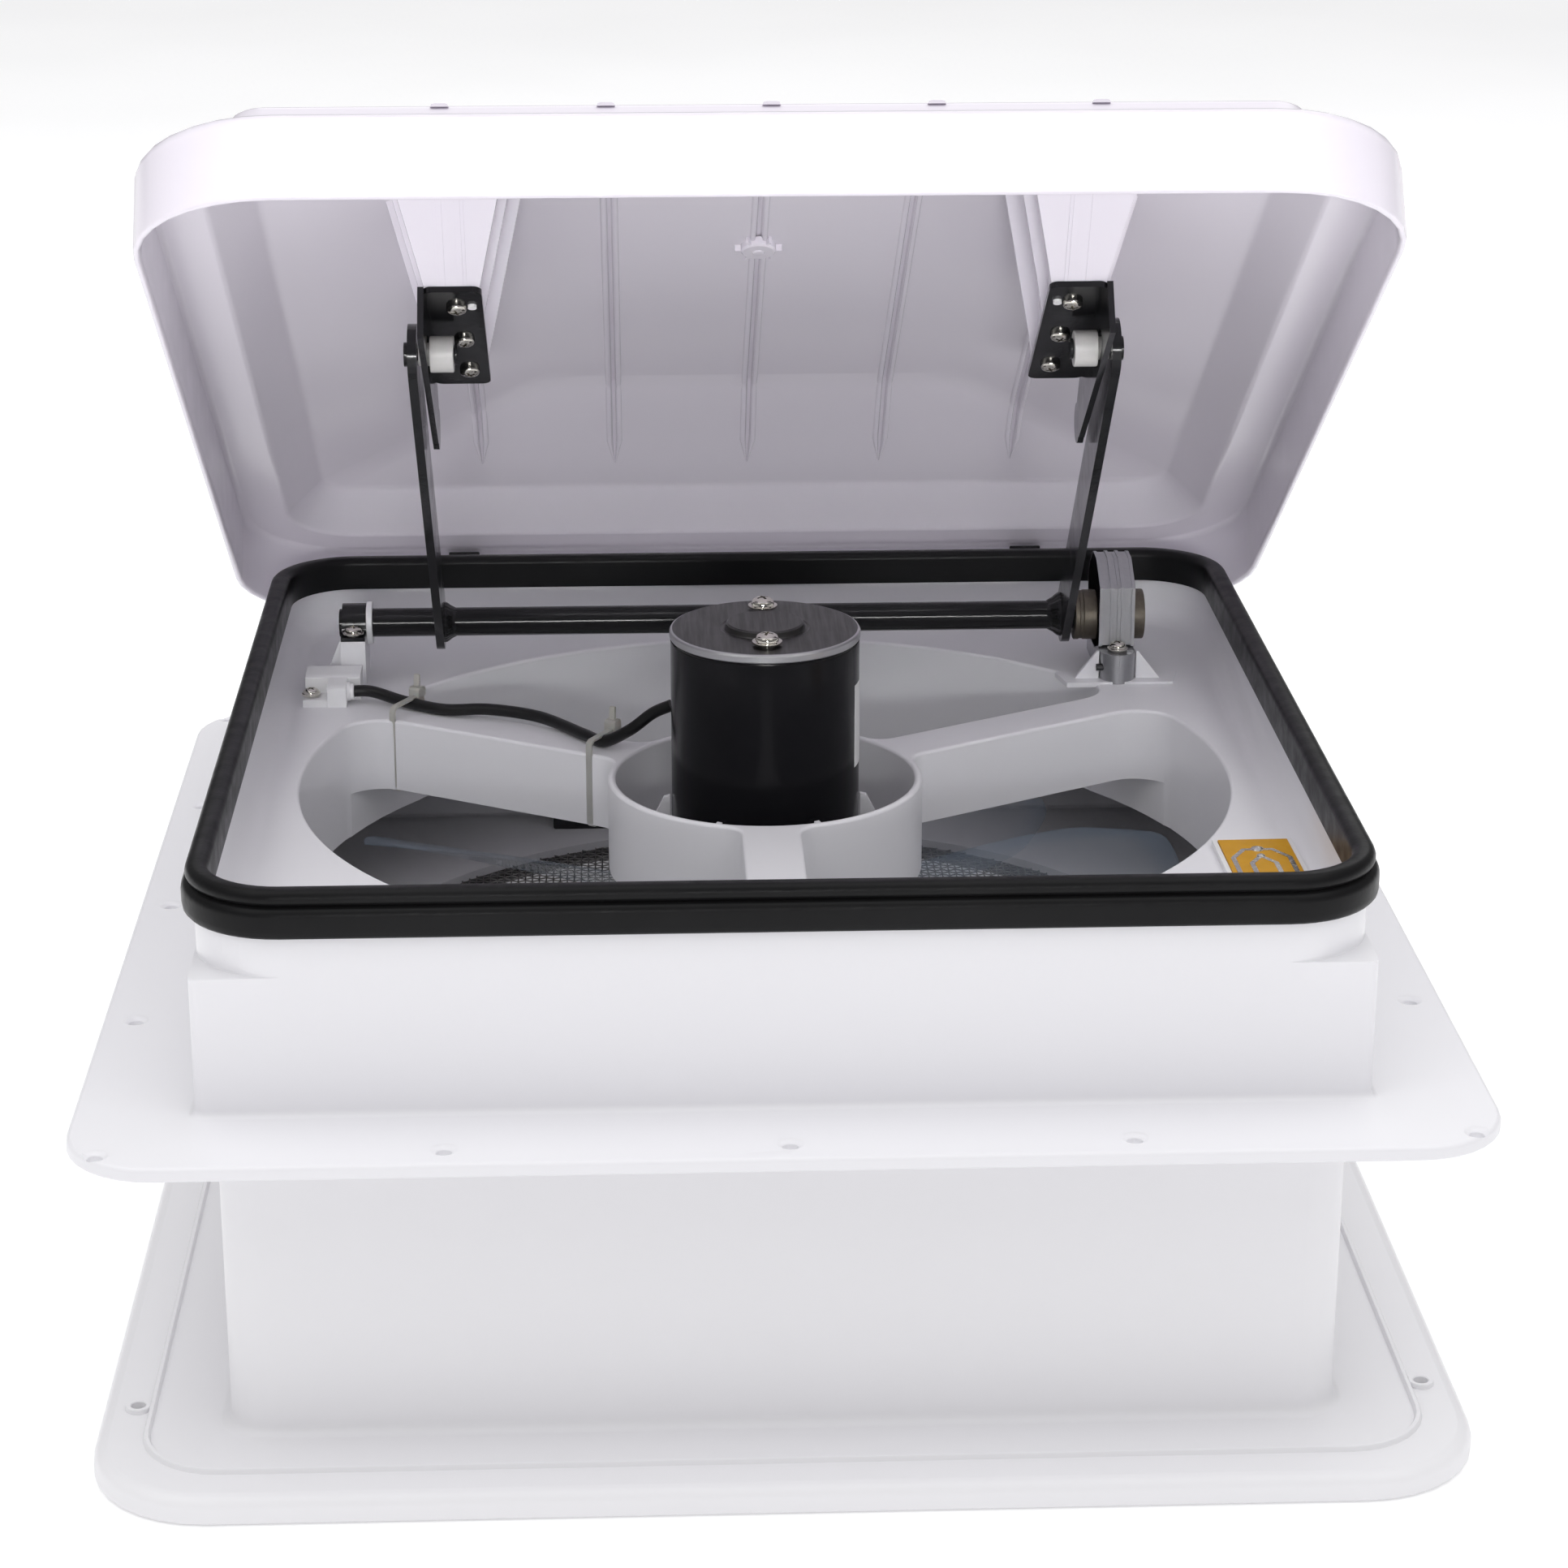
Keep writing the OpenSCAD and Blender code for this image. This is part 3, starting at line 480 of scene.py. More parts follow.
M["label"] = (Finish("paper_label", (0.80, 0.80, 0.80), 0.55).gloss(200, 0.08)
              .mottle(90, 0.4, (0.70, 0.70, 0.71)).bump(2500, 0.10, 0.0001, 4)).mat
M["cable"] = (Finish("cable_jacket", (0.004, 0.004, 0.0045), 0.35).gloss(200, 0.06)
              .mottle(80, 0.6, (0.009, 0.009, 0.010)).bump(500, 0.10, 0.0003).set(Specular_IOR_Level=0.4)).mat
M["tie"] = (Finish("clear_nylon", (0.78, 0.76, 0.70), 0.35).gloss(300, 0.06)
            .mottle(200, 0.4, (0.68, 0.65, 0.58)).bump(900, 0.08, 0.0002)
            .set(Transmission_Weight=0.55, IOR=1.45, Subsurface_Weight=0.1)).mat
M["roller"] = plastic("roller_nylon", (0.56, 0.55, 0.54), 0.36, (0.47, 0.46, 0.45), 0.05)
M["board"] = (Finish("sensor_board", (0.66, 0.33, 0.002), 0.34).gloss(300, 0.05)
              .mottle(120, 0.6, (0.52, 0.245, 0.002)).bump(1400, 0.15, 0.0001, stretch=(1, 0.2, 1))
              .set(Specular_IOR_Level=0.25)).mat
M["trace"] = steel("tinned_trace", (0.80, 0.78, 0.73), 0.25, None, 700)
M["screen_ring"] = (Finish("screen_ring_dark", (0.030, 0.030, 0.033), 0.45).gloss(250, 0.08)
                    .mottle(60, 0.5, (0.045, 0.045, 0.05)).bump(900, 0.15, 0.0002)).mat
M["mesh"] = (Finish("screen_wire", (0.16, 0.155, 0.15), 0.42, 0.4).gloss(600, 0.1)
             .mottle(200, 0.5, (0.10, 0.095, 0.09)).bump(3000, 0.1, 0.0001)).mat
M["magnet"] = (Finish("ferrite", (0.05, 0.05, 0.052), 0.6).gloss(300, 0.1)
               .mottle(90, 0.5, (0.03, 0.03, 0.03)).bump(1200, 0.3, 0.0003)).mat
M["copper"] = (Finish("rotor_copper", (0.40, 0.17, 0.07), 0.35, 0.9).gloss(500, 0.1)
               .mottle(200, 0.6, (0.22, 0.09, 0.04)).bump(1500, 0.3, 0.0003, stretch=(1, 1, 0.1))).mat
M["panel"] = plastic("panel_grey", (0.70, 0.70, 0.71), 0.36, (0.62, 0.62, 0.64), 0.04)
for key, name, color, rough, scale, share, dark in (
        ("green", "solder_mask", (0.02, 0.13, 0.045), 0.35, 150, 0.5, (0.012, 0.09, 0.03)),
        ("red", "button_red", (0.50, 0.035, 0.025), 0.42, 120, 0.4, (0.38, 0.025, 0.02)),
        ("grey", "button_grey", (0.13, 0.135, 0.14), 0.42, 120, 0.4, (0.09, 0.09, 0.1))):
    M[key] = Finish(name, color, rough).gloss(400, 0.06).mottle(scale, share, dark).bump(1500, 0.15, 0.0001).mat
M["black"] = (Finish("moulded_black", (0.014, 0.014, 0.016), 0.42).gloss(300, 0.08)
              .mottle(70, 0.5, (0.024, 0.024, 0.027)).bump(900, 0.2, 0.0002)).mat
M["plated"] = steel("black_plated", (0.06, 0.06, 0.062), 0.35)


def blade_material():
    """Clear plastic: nearly invisible face on, cool and bright where seen edge on, as a painted reflection."""
    f = Finish("clear_blade", (0.36, 0.41, 0.47), 0.06).gloss(80, 0.03)
    f.mottle(40, 0.3, (0.30, 0.35, 0.41)).bump(60, 0.06, 0.001, 1)
    # Painted glints: a darker blue tint along the outward edges, where the clear plastic bends the light.
    f.edges((0.20, 0.30, 0.42), 0.7, 0.505, 0.53)
    # Painted reflection: the opacity rises towards the edge-on view.
    facing = f.node("ShaderNodeLayerWeight", Blend=0.35).outputs["Facing"]
    f.link(f.ramp(facing, 0.0, 1.0, 0.06, 0.38), f.bsdf.inputs["Alpha"])
    return f.mat


M["blade"] = blade_material()


def shade_group():
    """Geometry nodes that shade a carried-over CAD mesh smooth below an edge angle."""
    g = bpy.data.node_groups.new("shade_by_angle", "GeometryNodeTree")
    g.interface.new_socket("Geometry", in_out="INPUT", socket_type="NodeSocketGeometry")
    g.interface.new_socket("Geometry", in_out="OUTPUT", socket_type="NodeSocketGeometry")
    start, end = g.nodes.new("NodeGroupInput"), g.nodes.new("NodeGroupOutput")
    drop = g.nodes.new("GeometryNodeRemoveAttribute")
    drop.inputs["Name"].default_value = "custom_normal"
    faces = g.nodes.new("GeometryNodeSetShadeSmooth")
    faces.domain = "FACE"
    edges = g.nodes.new("GeometryNodeSetShadeSmooth")
    edges.domain = "EDGE"
    edges.inputs["Shade Smooth"].default_value = False
    angle = g.nodes.new("GeometryNodeInputMeshEdgeAngle")
    test = g.nodes.new("FunctionNodeCompare")
    test.data_type, test.operation = "FLOAT", "GREATER_THAN"
    test.inputs[1].default_value = radians(34)
    g.links.new(start.outputs[0], drop.inputs["Geometry"])
    g.links.new(drop.outputs["Geometry"], faces.inputs["Geometry"])
    g.links.new(faces.outputs["Geometry"], edges.inputs["Geometry"])
    g.links.new(angle.outputs["Unsigned Angle"], test.inputs[0])
    g.links.new(test.outputs["Result"], edges.inputs["Selection"])
    g.links.new(edges.outputs["Geometry"], end.inputs[0])
    return g


SHADE = shade_group()


def keep(node, finish, width=0.25, segments=2):
    """Carry a CAD node over with rounded edges and its own finish."""
    obj = NODES[node]
    obj.data.materials.clear()
    obj.data.materials.append(M[finish])
    weld = obj.modifiers.new("weld", "WELD")
    weld.merge_threshold = 1e-6
    if width:
        mod = obj.modifiers.new("round", "BEVEL")
        mod.width, mod.segments = width * MM, segments
        mod.limit_method, mod.angle_limit = "ANGLE", radians(34)
    shade = obj.modifiers.new("shade", "NODES")
    shade.node_group = SHADE
    mod = obj.modifiers.new("normals", "WEIGHTED_NORMAL")
    mod.keep_sharp = True


def piece(obj, body, finish, slot, *nodes):
    """Give a piece its finish and its body, and hide the CAD nodes it stands for."""
    obj.data.materials.clear()
    obj.data.materials.append(M[finish])
    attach(obj, body)
    if nodes:
        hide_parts(*nodes)
    return obj


def make(shape, name, angle, weighted, *rest):
    """Shape to finished piece: smoothing angle, weighted normals or not, then what piece() takes."""
    return piece(smooth(as_object(shape, name), angle, weighted), *rest)


# ---- Base housing ----
EDGE = 1.2


def opening(alpha, grow, z, outer=14.0, inner=8.0):
    """Outline of the air opening that runs from the spoke at alpha to the next, grown on every side."""
    beta = alpha + 120
    a_out = degrees(asin((SPOKE_HALF + outer) / (DUCT_R - outer)))
    a_in = degrees(asin((SPOKE_HALF + inner) / (HUB_R + inner)))
    pts = []

    def arc(center, r, start, stop, n):
        for i in range(n + 1):
            a = radians(start + (stop - start) * i / n)
            pts.append(Vector((center[0] + r * cos(a), center[1] + r * sin(a), z)))

    def polar(r, a):
        return r * cos(radians(a)), r * sin(radians(a))

    arc((0, 0), DUCT_R + grow, alpha + a_out, beta - a_out, 48)
    arc(polar(DUCT_R - outer, beta - a_out), outer + grow, beta - a_out, beta + 90, 10)
    arc(polar(HUB_R + inner, beta - a_in), inner + grow, beta + 90, beta - a_in + 180, 8)
    arc((0, 0), HUB_R - grow, beta - a_in, alpha + a_in, 20)
    arc(polar(HUB_R + inner, alpha + a_in), inner + grow, alpha + a_in + 180, alpha + 270, 8)
    arc(polar(DUCT_R - outer, alpha + a_out), outer + grow, alpha - 90, alpha + a_out, 10)
    return pts


def housing_shape():
    """Base in one skin: deck, upstand, box, flange, roof collar, air duct, openings and cradle."""
    s = Shape()
    fillet, foot, rim, floor = 9.0, 2.2, 1.5, 2.0
    deck = s.rect(IN_W - 2 * fillet, IN_D - 2 * fillet, UP_R - WALL - fillet, DECK)
    loops = []
    for a in quarter(6)[1:]:
        o = fillet * (1 - sin(a))
        loops.append((IN_W - 2 * o, IN_D - 2 * o, UP_R - WALL - o, DECK + fillet * (1 - cos(a))))
    loops += [(IN_W, IN_D, UP_R - WALL, UP_Z - 0.8), (IN_W + 1.2, IN_D + 1.2, UP_R - WALL + 0.6, UP_Z),
              (BOX_W - 1.2, BOX_D - 1.2, UP_R - 0.6, UP_Z), (BOX_W, BOX_D, UP_R, UP_Z - 0.8)]
    loops += [(BOX_W, BOX_D, r, DECK + up) for up, r in (
        (1.4, UP_R), (0.7, UP_R - 0.1), (0.35, UP_R - 0.9), (0.1, 5.2), (-0.15, 3.4), (-0.7, 2.8))]
    for a in quarter(4):
        o = foot * (1 - cos(a))
        loops.append((BOX_W + 2 * o, BOX_D + 2 * o, 2.8 + o, FLANGE_T + foot * (1 - sin(a))))
    for a in quarter(4):
        o = rim * (1 - sin(a))
        loops.append((FLANGE_W - 2 * o, FLANGE_W - 2 * o, FLANGE_R - o, FLANGE_T - rim * (1 - cos(a))))
    loops += [(FLANGE_W, FLANGE_W, FLANGE_R, 0.6), (FLANGE_W - 1.2, FLANGE_W - 1.2, FLANGE_R - 0.6, 0.0)]
    loops += [(w, w, r, z) for w, r, z in (
        (352.5, 15, 0.0), (352.5, 15, 0.8), (340, 12, 0.8), (340, 12, -23.2), (338.6, 11.3, -24.0), (336, 10.5, -24.0),
        (335, 10, -23.2), (335, 10, FLANGE_T))]
    loops += [(IN_W, IN_D, 2.2, z) for z in (FLANGE_T, DECK_LOW)]
    rings = [deck] + [s.rect(*loop) for loop in loops]
    s.chain(rings)
    under, low = (s.ring(circle(DUCT_R + 2.5, z, 120)) for z in (DECK_LOW, DUCT_LOW))
    s.fill(rings[-1], under)
    s.bridge(under, low)
    tops, bottoms = [], []
    for alpha in SPOKES:
        wall = [s.ring(opening(alpha, EDGE * (1 - sin(a)), DECK - EDGE * (1 - cos(a)))) for a in quarter(3)]
        wall.append(s.ring(opening(alpha, 0, DUCT_LOW)))
        s.chain(wall)
        tops.append(wall[0])
        bottoms.append(wall[-1])
    cup = [(HUB_IN + EDGE * (1 - sin(a)), DECK - EDGE * (1 - cos(a))) for a in quarter(3)]
    cup += [(HUB_IN - floor * (1 - cos(a)), HUB_FLOOR + floor * (1 - sin(a))) for a in quarter(3)]
    cup = [s.ring(circle(r, z, 80)) for r, z in cup + [(7, HUB_FLOOR), (7, DUCT_LOW)]]
    s.chain(cup)
    s.fill(deck, cup[0], *tops)
    s.fill(low, cup[-1], *bottoms)
    return s


def roof_screw_places():
    """Centres of the flange screws: five to a side, the corners shared."""
    steps = range(-2, 3)
    return [(i * ROOF_PITCH, j * ROOF_PITCH) for i in steps for j in steps if 2 in (abs(i), abs(j))]


housing = as_object(housing_shape(), "housing")
cut(housing, lathe([(157.5, 5.0), (157.5, SPOKE_LOW), (54.2, SPOKE_LOW), (54.2, 5.0)], 96))
cut(housing, lathe([(0, 5.0), (54.6, 5.0), (54.6, HUB_LOW), (0, HUB_LOW)], 80))
channels = Shape()
for alpha in SPOKES:
    channels.add(block(57, 155, -7.5, 7.5, SPOKE_LOW - 2, DECK_LOW).moved(turn("Z", alpha)))
cut(housing, channels)
screw_cuts = Shape()
for x, y in roof_screw_places():
    screw_cuts.add(lathe([(0, -2), (2.3, -2), (2.3, 3.0), (2.5, 3.3), (4.6, 4.7), (4.6, 6), (0, 6)], 28, x, y))
cut(housing, screw_cuts)
smooth(housing, 38)
piece(housing, "base", "housing", "housing_white", "base_housing")


def hinge_ear(x):
    y, z = HINGE.y, HINGE.z
    pts = [(BOX_D / 2 - 1, 12), (y + 3, z - 5.5), *arc_points(y, z, 6, range(-50, 110, 15)), (BOX_D / 2 - 1, z + 10)]
    return prism(pts, "x", x - 3, x + 3)


def post_shape():
    """Stand for the left end of the lift shaft, stepped in front and with a slanted rib on its left."""
    y, z = SHAFT.y, SHAFT.z
    base, step = DECK - 1, clamp_lo.z
    saddle = arc_points(y, z, 5.7, range(0, -181, -15))
    outline = [(y - 14, base), (y + 9, base), (y + 9, z), *saddle, (y - 5.7, step), (y - 14, step)]
    s = prism(outline, "x", -151, -142)
    s.add(prism([(y + 8, base), (y + 22, base), (y + 9.5, 57), (y + 8, 57)], "x", -148, -145))
    s.add(prism([(-158.5, base), (-150.5, base), (-150.5, step - 1), (-151.6, step - 1)], "y", y - 9, y - 7.4))
    return s


def fin_shape():
    """Six fins between the cradle and the motor."""
    inner, base = can_hi.x + 0.5, HUB_FLOOR - 0.5
    s = Shape()
    for k in range(6):
        fin = prism([(inner, base), (46, base), (inner + 2.2, 41.5), (inner, 42)], "y", -1, 1)
        s.add(fin.moved(turn("Z", 60 * k)))
    return s


def stand_shape():
    """Foot plate and two gussets under the gearbox."""
    base, high = DECK - 1, 60
    s = prism([(114, 95), (153, 95), (156, 108), (111, 108)], "z", base, DECK + 0.8)
    for outline in ([(116, base), (126.2, base), (126.2, high), (125.4, high)],
                    [(139.8, base), (150, base), (140.6, high), (139.8, high)]):
        s.add(prism(outline, "y", 100, 102))
    return s


small_parts = Shape()
for sx in (-1, 1):
    for off in (-10, 10):
        small_parts.add(hinge_ear(sx * 110 + off))
for shape_maker in (post_shape, fin_shape, stand_shape):
    small_parts.add(shape_maker())
piece(rounded(small_parts, "housing_stands", 0.5), "base", "housing", "housing_white")


# ---- Rubber seal ----
def seal_shape():
    s = Shape()
    top, low = seal_hi.z, seal_lo.z
    wide, mid = (seal_hi.x - seal_lo.x - BOX_W) / 2, 2.2
    profile = [(-5.0, 65.5), (-5.0, 74.6), (-4.7, 75.9), (-3.9, 76.8), (-2.6, top), (-0.4, top), (0.9, top - 0.35),
               (1.8, top - 1.2), (mid, top - 2.4), (mid, top - 3.4), (1.8, top - 4.3), (1.0, 72.5), (0.9, 72.15),
               (1.6, 71.95), (2.6, 71.5), (3.3, 70.6), (wide, 69.3), (wide, 65.2), (3.3, 63.5), (2.5, 62.5),
               (1.2, low), (0.06, low), (0.06, 68), (0.06, 75.56), (-3.06, 75.56), (-3.06, 70), (-3.06, 65.5)]
    rings = [s.rect(BOX_W + 2 * o, BOX_D + 2 * o, UP_R + o, z, arc=12) for o, z in profile]
    s.chain(rings)
    s.bridge(rings[-1], rings[0])
    return s


make(seal_shape(), "seal", 60, True, "base", "rubber", "seal_rubber", "lid_seal")

# ---- Lid ----
LID = (shift(0, HINGE.y, HINGE.z) @ Matrix.Rotation(-LID_OPEN, 4, "X")
       @ shift(0, LID_REAR - HINGE.y, LID_RIM - HINGE.z))
GROOVES = (-101, -50.5, 0, 50.5, 101)


def lid_rings(s, inset, inner):
    """Rings of the lid from the rim to the flat top, all in the lid's own frame."""
    w, d, h = LID_W - 2 * inset, LID_D - 2 * inset, SKIRT_H - inset
    cy = -LID_D / 2

    def loop(dw, r, z):
        return s.rect(w - 2 * dw, d - 2 * dw, max(r - dw, 3), z, cy=cy)

    r = 45 - inset
    rings = []
    bend = 5.0 if not inner else 2.2
    for a in quarter(4):
        rings.append(loop(bend * (1 - cos(a)), r, h - bend * (1 - sin(a))))
    for dw, radius, up in ((15.4, 27, 0.0), (16.6, 26, 0.15), (17.5, 25, 0.9), (18.4, 24, 2.0), (28.6, 12, 13.9),
                           (29.3, 11, 14.7), (30.2, 10, 15.3)):
        rings.append(loop(dw, radius + dw, h + up))
    x0, y0, r0, z0 = w / 2 - CROWN_EDGE, d / 2 - CROWN_EDGE, 9.0, h + CROWN_LOW
    x1, y1, r1, z1 = CROWN_X, CROWN_Y, 9.0, h + CROWN_TOP
    for t in (0, 0.05, 0.5, 0.93):
        rings.append(s.rect(2 * (x0 + (x1 - x0) * t), 2 * (y0 + (y1 - y0) * t), r0 + (r1 - r0) * t,
                            z0 + (z1 - z0) * t, cy=cy))
    rings.append(s.rect(2 * x1 - 6, 2 * y1 - 6, r1, z1 - 0.3, cy=cy))
    rings.append(s.rect(2 * x1 - 16, 2 * y1 - 16, r1, z1, cy=cy))
    return rings


def lid_roof(x, y, inset):
    """Height of the crown over a point, in the lid's frame (y from the centre)."""
    w, d, h = LID_W - 2 * inset, LID_D - 2 * inset, SKIRT_H - inset
    foot_x, foot_y = w / 2 - CROWN_EDGE, d / 2 - CROWN_EDGE
    share = min(1.0, (foot_x - abs(x)) / (foot_x - CROWN_X), (foot_y - abs(y)) / (foot_y - CROWN_Y))
    return h + CROWN_LOW + (CROWN_TOP - CROWN_LOW) * share


def lid_shape():
    s = Shape()
    out, inn = lid_rings(s, 0, False), lid_rings(s, LID_T, True)
    cy = -LID_D / 2
    rim = [s.rect(LID_W - 2 * o, LID_D - 2 * o, 45 - o, z, cy=cy) for o, z in (
        (LID_T, 6.0), (LID_T - 0.1, 1.2), (LID_T - 0.5, 0.3), (LID_T - 1.0, 0.0), (1.0, 0.0), (0.3, 0.3), (0.0, 1.0))]
    s.chain(list(reversed(inn)) + rim + out)
    s.fill(out[-1])
    s.fill(inn[-1])
    return s


def groove_run(x, profile):
    """Strip of a given cross profile, (across, up, constant), along the inside of the crown."""
    s = Shape()
    rings = []
    ceiling, front, rear, step = 57.8, 46, 24, 2
    for i in range(150):
        y = LID_D / 2 - front - step * i
        if y < rear - LID_D / 2:
            break
        grow = min(1.0, 0.12 + i / 8)
        rings.append(s.ring([
            (x + across * grow, y - LID_D / 2, min(lid_roof(x + across * grow, y, LID_T), ceiling) + up * grow + fixed)
            for across, up, fixed in profile]))
    return s.loft(rings)


def groove_shape(x):
    """Narrow channel in the inner face of the crown, pointed at its rear end."""
    return groove_run(x, ((-1.25, 0, -0.7), (1.25, 0, -0.7), (1.1, 0.2, 0), (0.55, 1.75, 0), (-0.55, 1.75, 0),
                          (-1.1, 0.2, 0)))


def lip_shape(x, side):
    """Raised lip along one side of a channel."""
    return groove_run(x, ((side * 1.3, 0, 0.5), (side * 1.3, -0.5, 0), (side * 1.6, -0.75, 0), (side * 2.3, -0.75, 0),
                          (side * 2.8, -0.4, 0), (side * 3.1, 0, 0.5)))


def ridge_shape(x):
    """Matching ridge on the outer face, lower on the front slope, with rounded ends."""
    s = Shape()
    rings = []
    high, front, rear, step = 1.1, 42, 26, 2
    for i in range(164):
        y = LID_D / 2 - front - step * i
        if y < rear - LID_D / 2:
            break
        z = lid_roof(x, y, 0)
        ends = min(1.0, (i + 0.3) / 4, (y + LID_D / 2 - 25) / 9)
        lift = high * ends * min(1.0, max(0.3, (112 - y) / 24))
        rings.append(s.ring([(x + dx, y - LID_D / 2, z + up) for dx, up in (
            (-2.8, -0.8), (2.8, -0.8), (2.4, 0.35 * lift), (1.4, lift), (-1.4, lift), (-2.4, 0.35 * lift))]))
    return s.loft(rings)


lid = as_object(lid_shape(), "lid")
grooves, ridges, lips = Shape(), Shape(), Shape()
for x in GROOVES:
    grooves.add(groove_shape(x))
    ridges.add(ridge_shape(x))
    for side in (-1, 1):
        lips.add(lip_shape(x, side))
cut(lid, grooves)
place_at(lid, LID)
smooth(lid, 38)
piece(lid, "lid", "lid", "lid_white", "lid_shell")
make(ridges.moved(LID), "lid_ridges", 50, True, "lid", "lid", "lid_white")
make(lips.moved(LID), "lid_groove_lips", 50, True, "lid", "lid", "lid_white")


def plank(x0, half, front, back, z):
    """Corners of a level rectangle from front to back, either side of x0."""
    return [(x0 - half, front, z), (x0 + half, front, z), (x0 + half, back, z), (x0 - half, back, z)]


def tower_shape(side):
    """Core of the tapered tower under the crown that carries a rail."""
    s = Shape()
    return s.loft([s.ring(plank(side * RAIL_X, 8.0 + t, -281 - 70 * t, -205.5 + 5 * t, 16.02 + 42 * t))
                   for t in (0, 0.5, 1.0)])


def gusset_shape(side, back, narrow, wide, thick):
    """Slanted plate across a tower, level with its front face and set back by a distance."""
    s = Shape()
    return s.loft([s.ring(plank(side * RAIL_X, half, y + back, y + back + thick, z))
                   for z, half, y in ((16.1, narrow, -282), (58, wide, -352))])


def under_crown(shape, name, bevel):
    """Trim a shape, in the lid's frame, to the inside of the crown and round it."""
    obj = as_object(shape, name)
    limit = Shape()
    rings = lid_rings(limit, LID_T - 0.6, True)
    low = limit.rect(LID_W - 20, LID_D - 20, 35, -5, cy=-LID_D / 2)
    limit.chain([low] + rings)
    limit.fill(low)
    limit.fill(rings[-1])
    tool = as_object(limit, "cutter")
    mod = obj.modifiers.new("keep", "BOOLEAN")
    mod.operation, mod.solver, mod.object, mod.use_self = "INTERSECT", "EXACT", tool, True
    bpy.context.view_layer.update()
    apply_modifiers(obj)
    bpy.data.objects.remove(tool)
    if bevel:
        round_edges(obj, bevel, 40, 2)
        apply_modifiers(obj)
    place_at(obj, LID)
    return smooth(obj, 38)


for side, tag in ((-1, "left"), (1, "right")):
    tower = tower_shape(side)
    piece(under_crown(tower, "lid_tower_" + tag, 0.8), "lid", "lid", "lid_white")
    ribs = Shape()
    for off, half, proud in ((0, 4.9, 0.5), (-2.9, 0.9, 1.1), (2.9, 0.9, 1.1)):
        ribs.add(prism([(-281, 16.1), (-282.2 - proud, 16.1), (-352.2 - proud, 58), (-350, 58)], "x",
                       side * RAIL_X + off - half, side * RAIL_X + off + half))
    for back, thick in ((0, 2.2), (27, 1.5), (63, 1.5)):
        ribs.add(gusset_shape(side, back, 8.9, 25, thick))
    piece(under_crown(ribs, "lid_ribs_" + tag, 0.25), "lid", "lid", "lid_white")

BOSS_D = 219  # from the hinge to the middle boss, which clears the motor screws when the lid is shut
boss = lathe([(0, 55.2), (5.4, 55.2), (6.0, 55.8), (6.0, 60), (0, 60)], 40, 0, -BOSS_D)
for a in (0, 60, 120):
    boss.add(block(-8, 8, -0.5, 0.5, 55.6, 60).moved(shift(0, -BOSS_D, 0) @ turn("Z", a)))
boss.add(lathe([(0, 54.7), (1.8, 54.7), (2.1, 55.1), (2.1, 56), (0, 56)], 32, 0, -BOSS_D))
piece(under_crown(boss, "lid_centre_boss", 0.2), "lid", "lid", "lid_white")


# ---- Motor and cradle ----
def motor_body():
    r, z0, z1 = can_hi.x, can_lo.z, can_hi.z
    return lathe([(0, z0 + 0.05), (r - 2, z0 + 0.05), (r - 0.6, z0 + 0.5), (r, z0 + 2), (r, z0 + 20), (r, z1 - 10),
                  (r, z1 - 1.2), (r - 0.3, z1 - 0.6), (r - 0.3, z1 - 0.05), (0, z1 - 0.05)], 96)


make(motor_body(), "motor_body", 40, True, "base", "can", "motor_black", "motor_can")


def motor_end():
    r, z0, z1, top = cap_hi.x, can_hi.z, CAP_TOP, cap_hi.z
    return lathe([(0, z0), (r - 0.2, z0), (r, z0 + 0.3), (r, z1 - 0.9), (r - 0.35, z1 - 0.3), (r - 1.0, z1), (15.2, z1),
                  (14.6, z1 - 0.35), (13.7, z1 - 0.35), (13.3, z1 + 0.2), (13.1, top - 0.5), (12.5, top), (0, top)], 96)


make(motor_end(), "motor_end_cap", 30, True, "base", "cap", "cap_steel", "motor_cap")


def pan_head(head, high, washer):
    """Pan head standing on z = 0, with a washer of some radius or none."""
    r = head / 2
    prof = [(0, -1.0), (r * 0.6, -1.0)]
    prof += [(r * 0.6, 0), (washer, 0), (washer, 0.7), (r, 0.75)] if washer else [(r, -1.0)]
    prof += [(r * a, high * b) for a, b in ((1, 0.35), (0.97, 0.55), (0.86, 0.78), (0.62, 0.93), (0.3, 1), (0, 1))]
    return lathe(prof, 40)


def screw(name, head, high, place, washer, body, *nodes, finish="screw"):
    """Finished screw head with a cross recess, placed by a matrix."""
    obj = as_object(pan_head(head, high, washer), name)
    long, thin = head * 0.27, head * 0.055
    for a, b in ((long, thin), (thin, long)):
        cut(obj, block(-a, a, -b, b, high - head * 0.22, high + 2))
    round_edges(obj, 0.12, 40, 2)
    apply_modifiers(obj)
    place_at(obj, place)
    return piece(smooth(obj, 38), body, finish, "screw_steel", *nodes)


RAIL_FACE = 14.0
RAIL_SCREWS = ((98.1, 218), (98.7, 244), (100, 271))  # distance from the middle and from the hinge
for side, tag in ((-1, "left"), (1, "right")):
    for k, (x, d) in enumerate(RAIL_SCREWS):
        where = LID @ shift(side * x, -d, RAIL_FACE) @ turn("X", 180) @ turn("Z", 25 + 40 * k)
        nodes = ("bracket_screws",) if side < 0 and k == 0 else ()
        screw(f"bracket_screw_{tag}_{k + 1}", 6.7, 2.3, where, 0.0, "lid", *nodes)
for name, y, angle, nodes in (("front", -21, 75, ("motor_screws",)), ("rear", 21, 30, ())):
    where = shift(0, y, CAP_TOP + 0.9) @ turn("Z", angle)
    screw("motor_screw_" + name, 7.8, 3.4, where, 5.0, "base", *nodes)


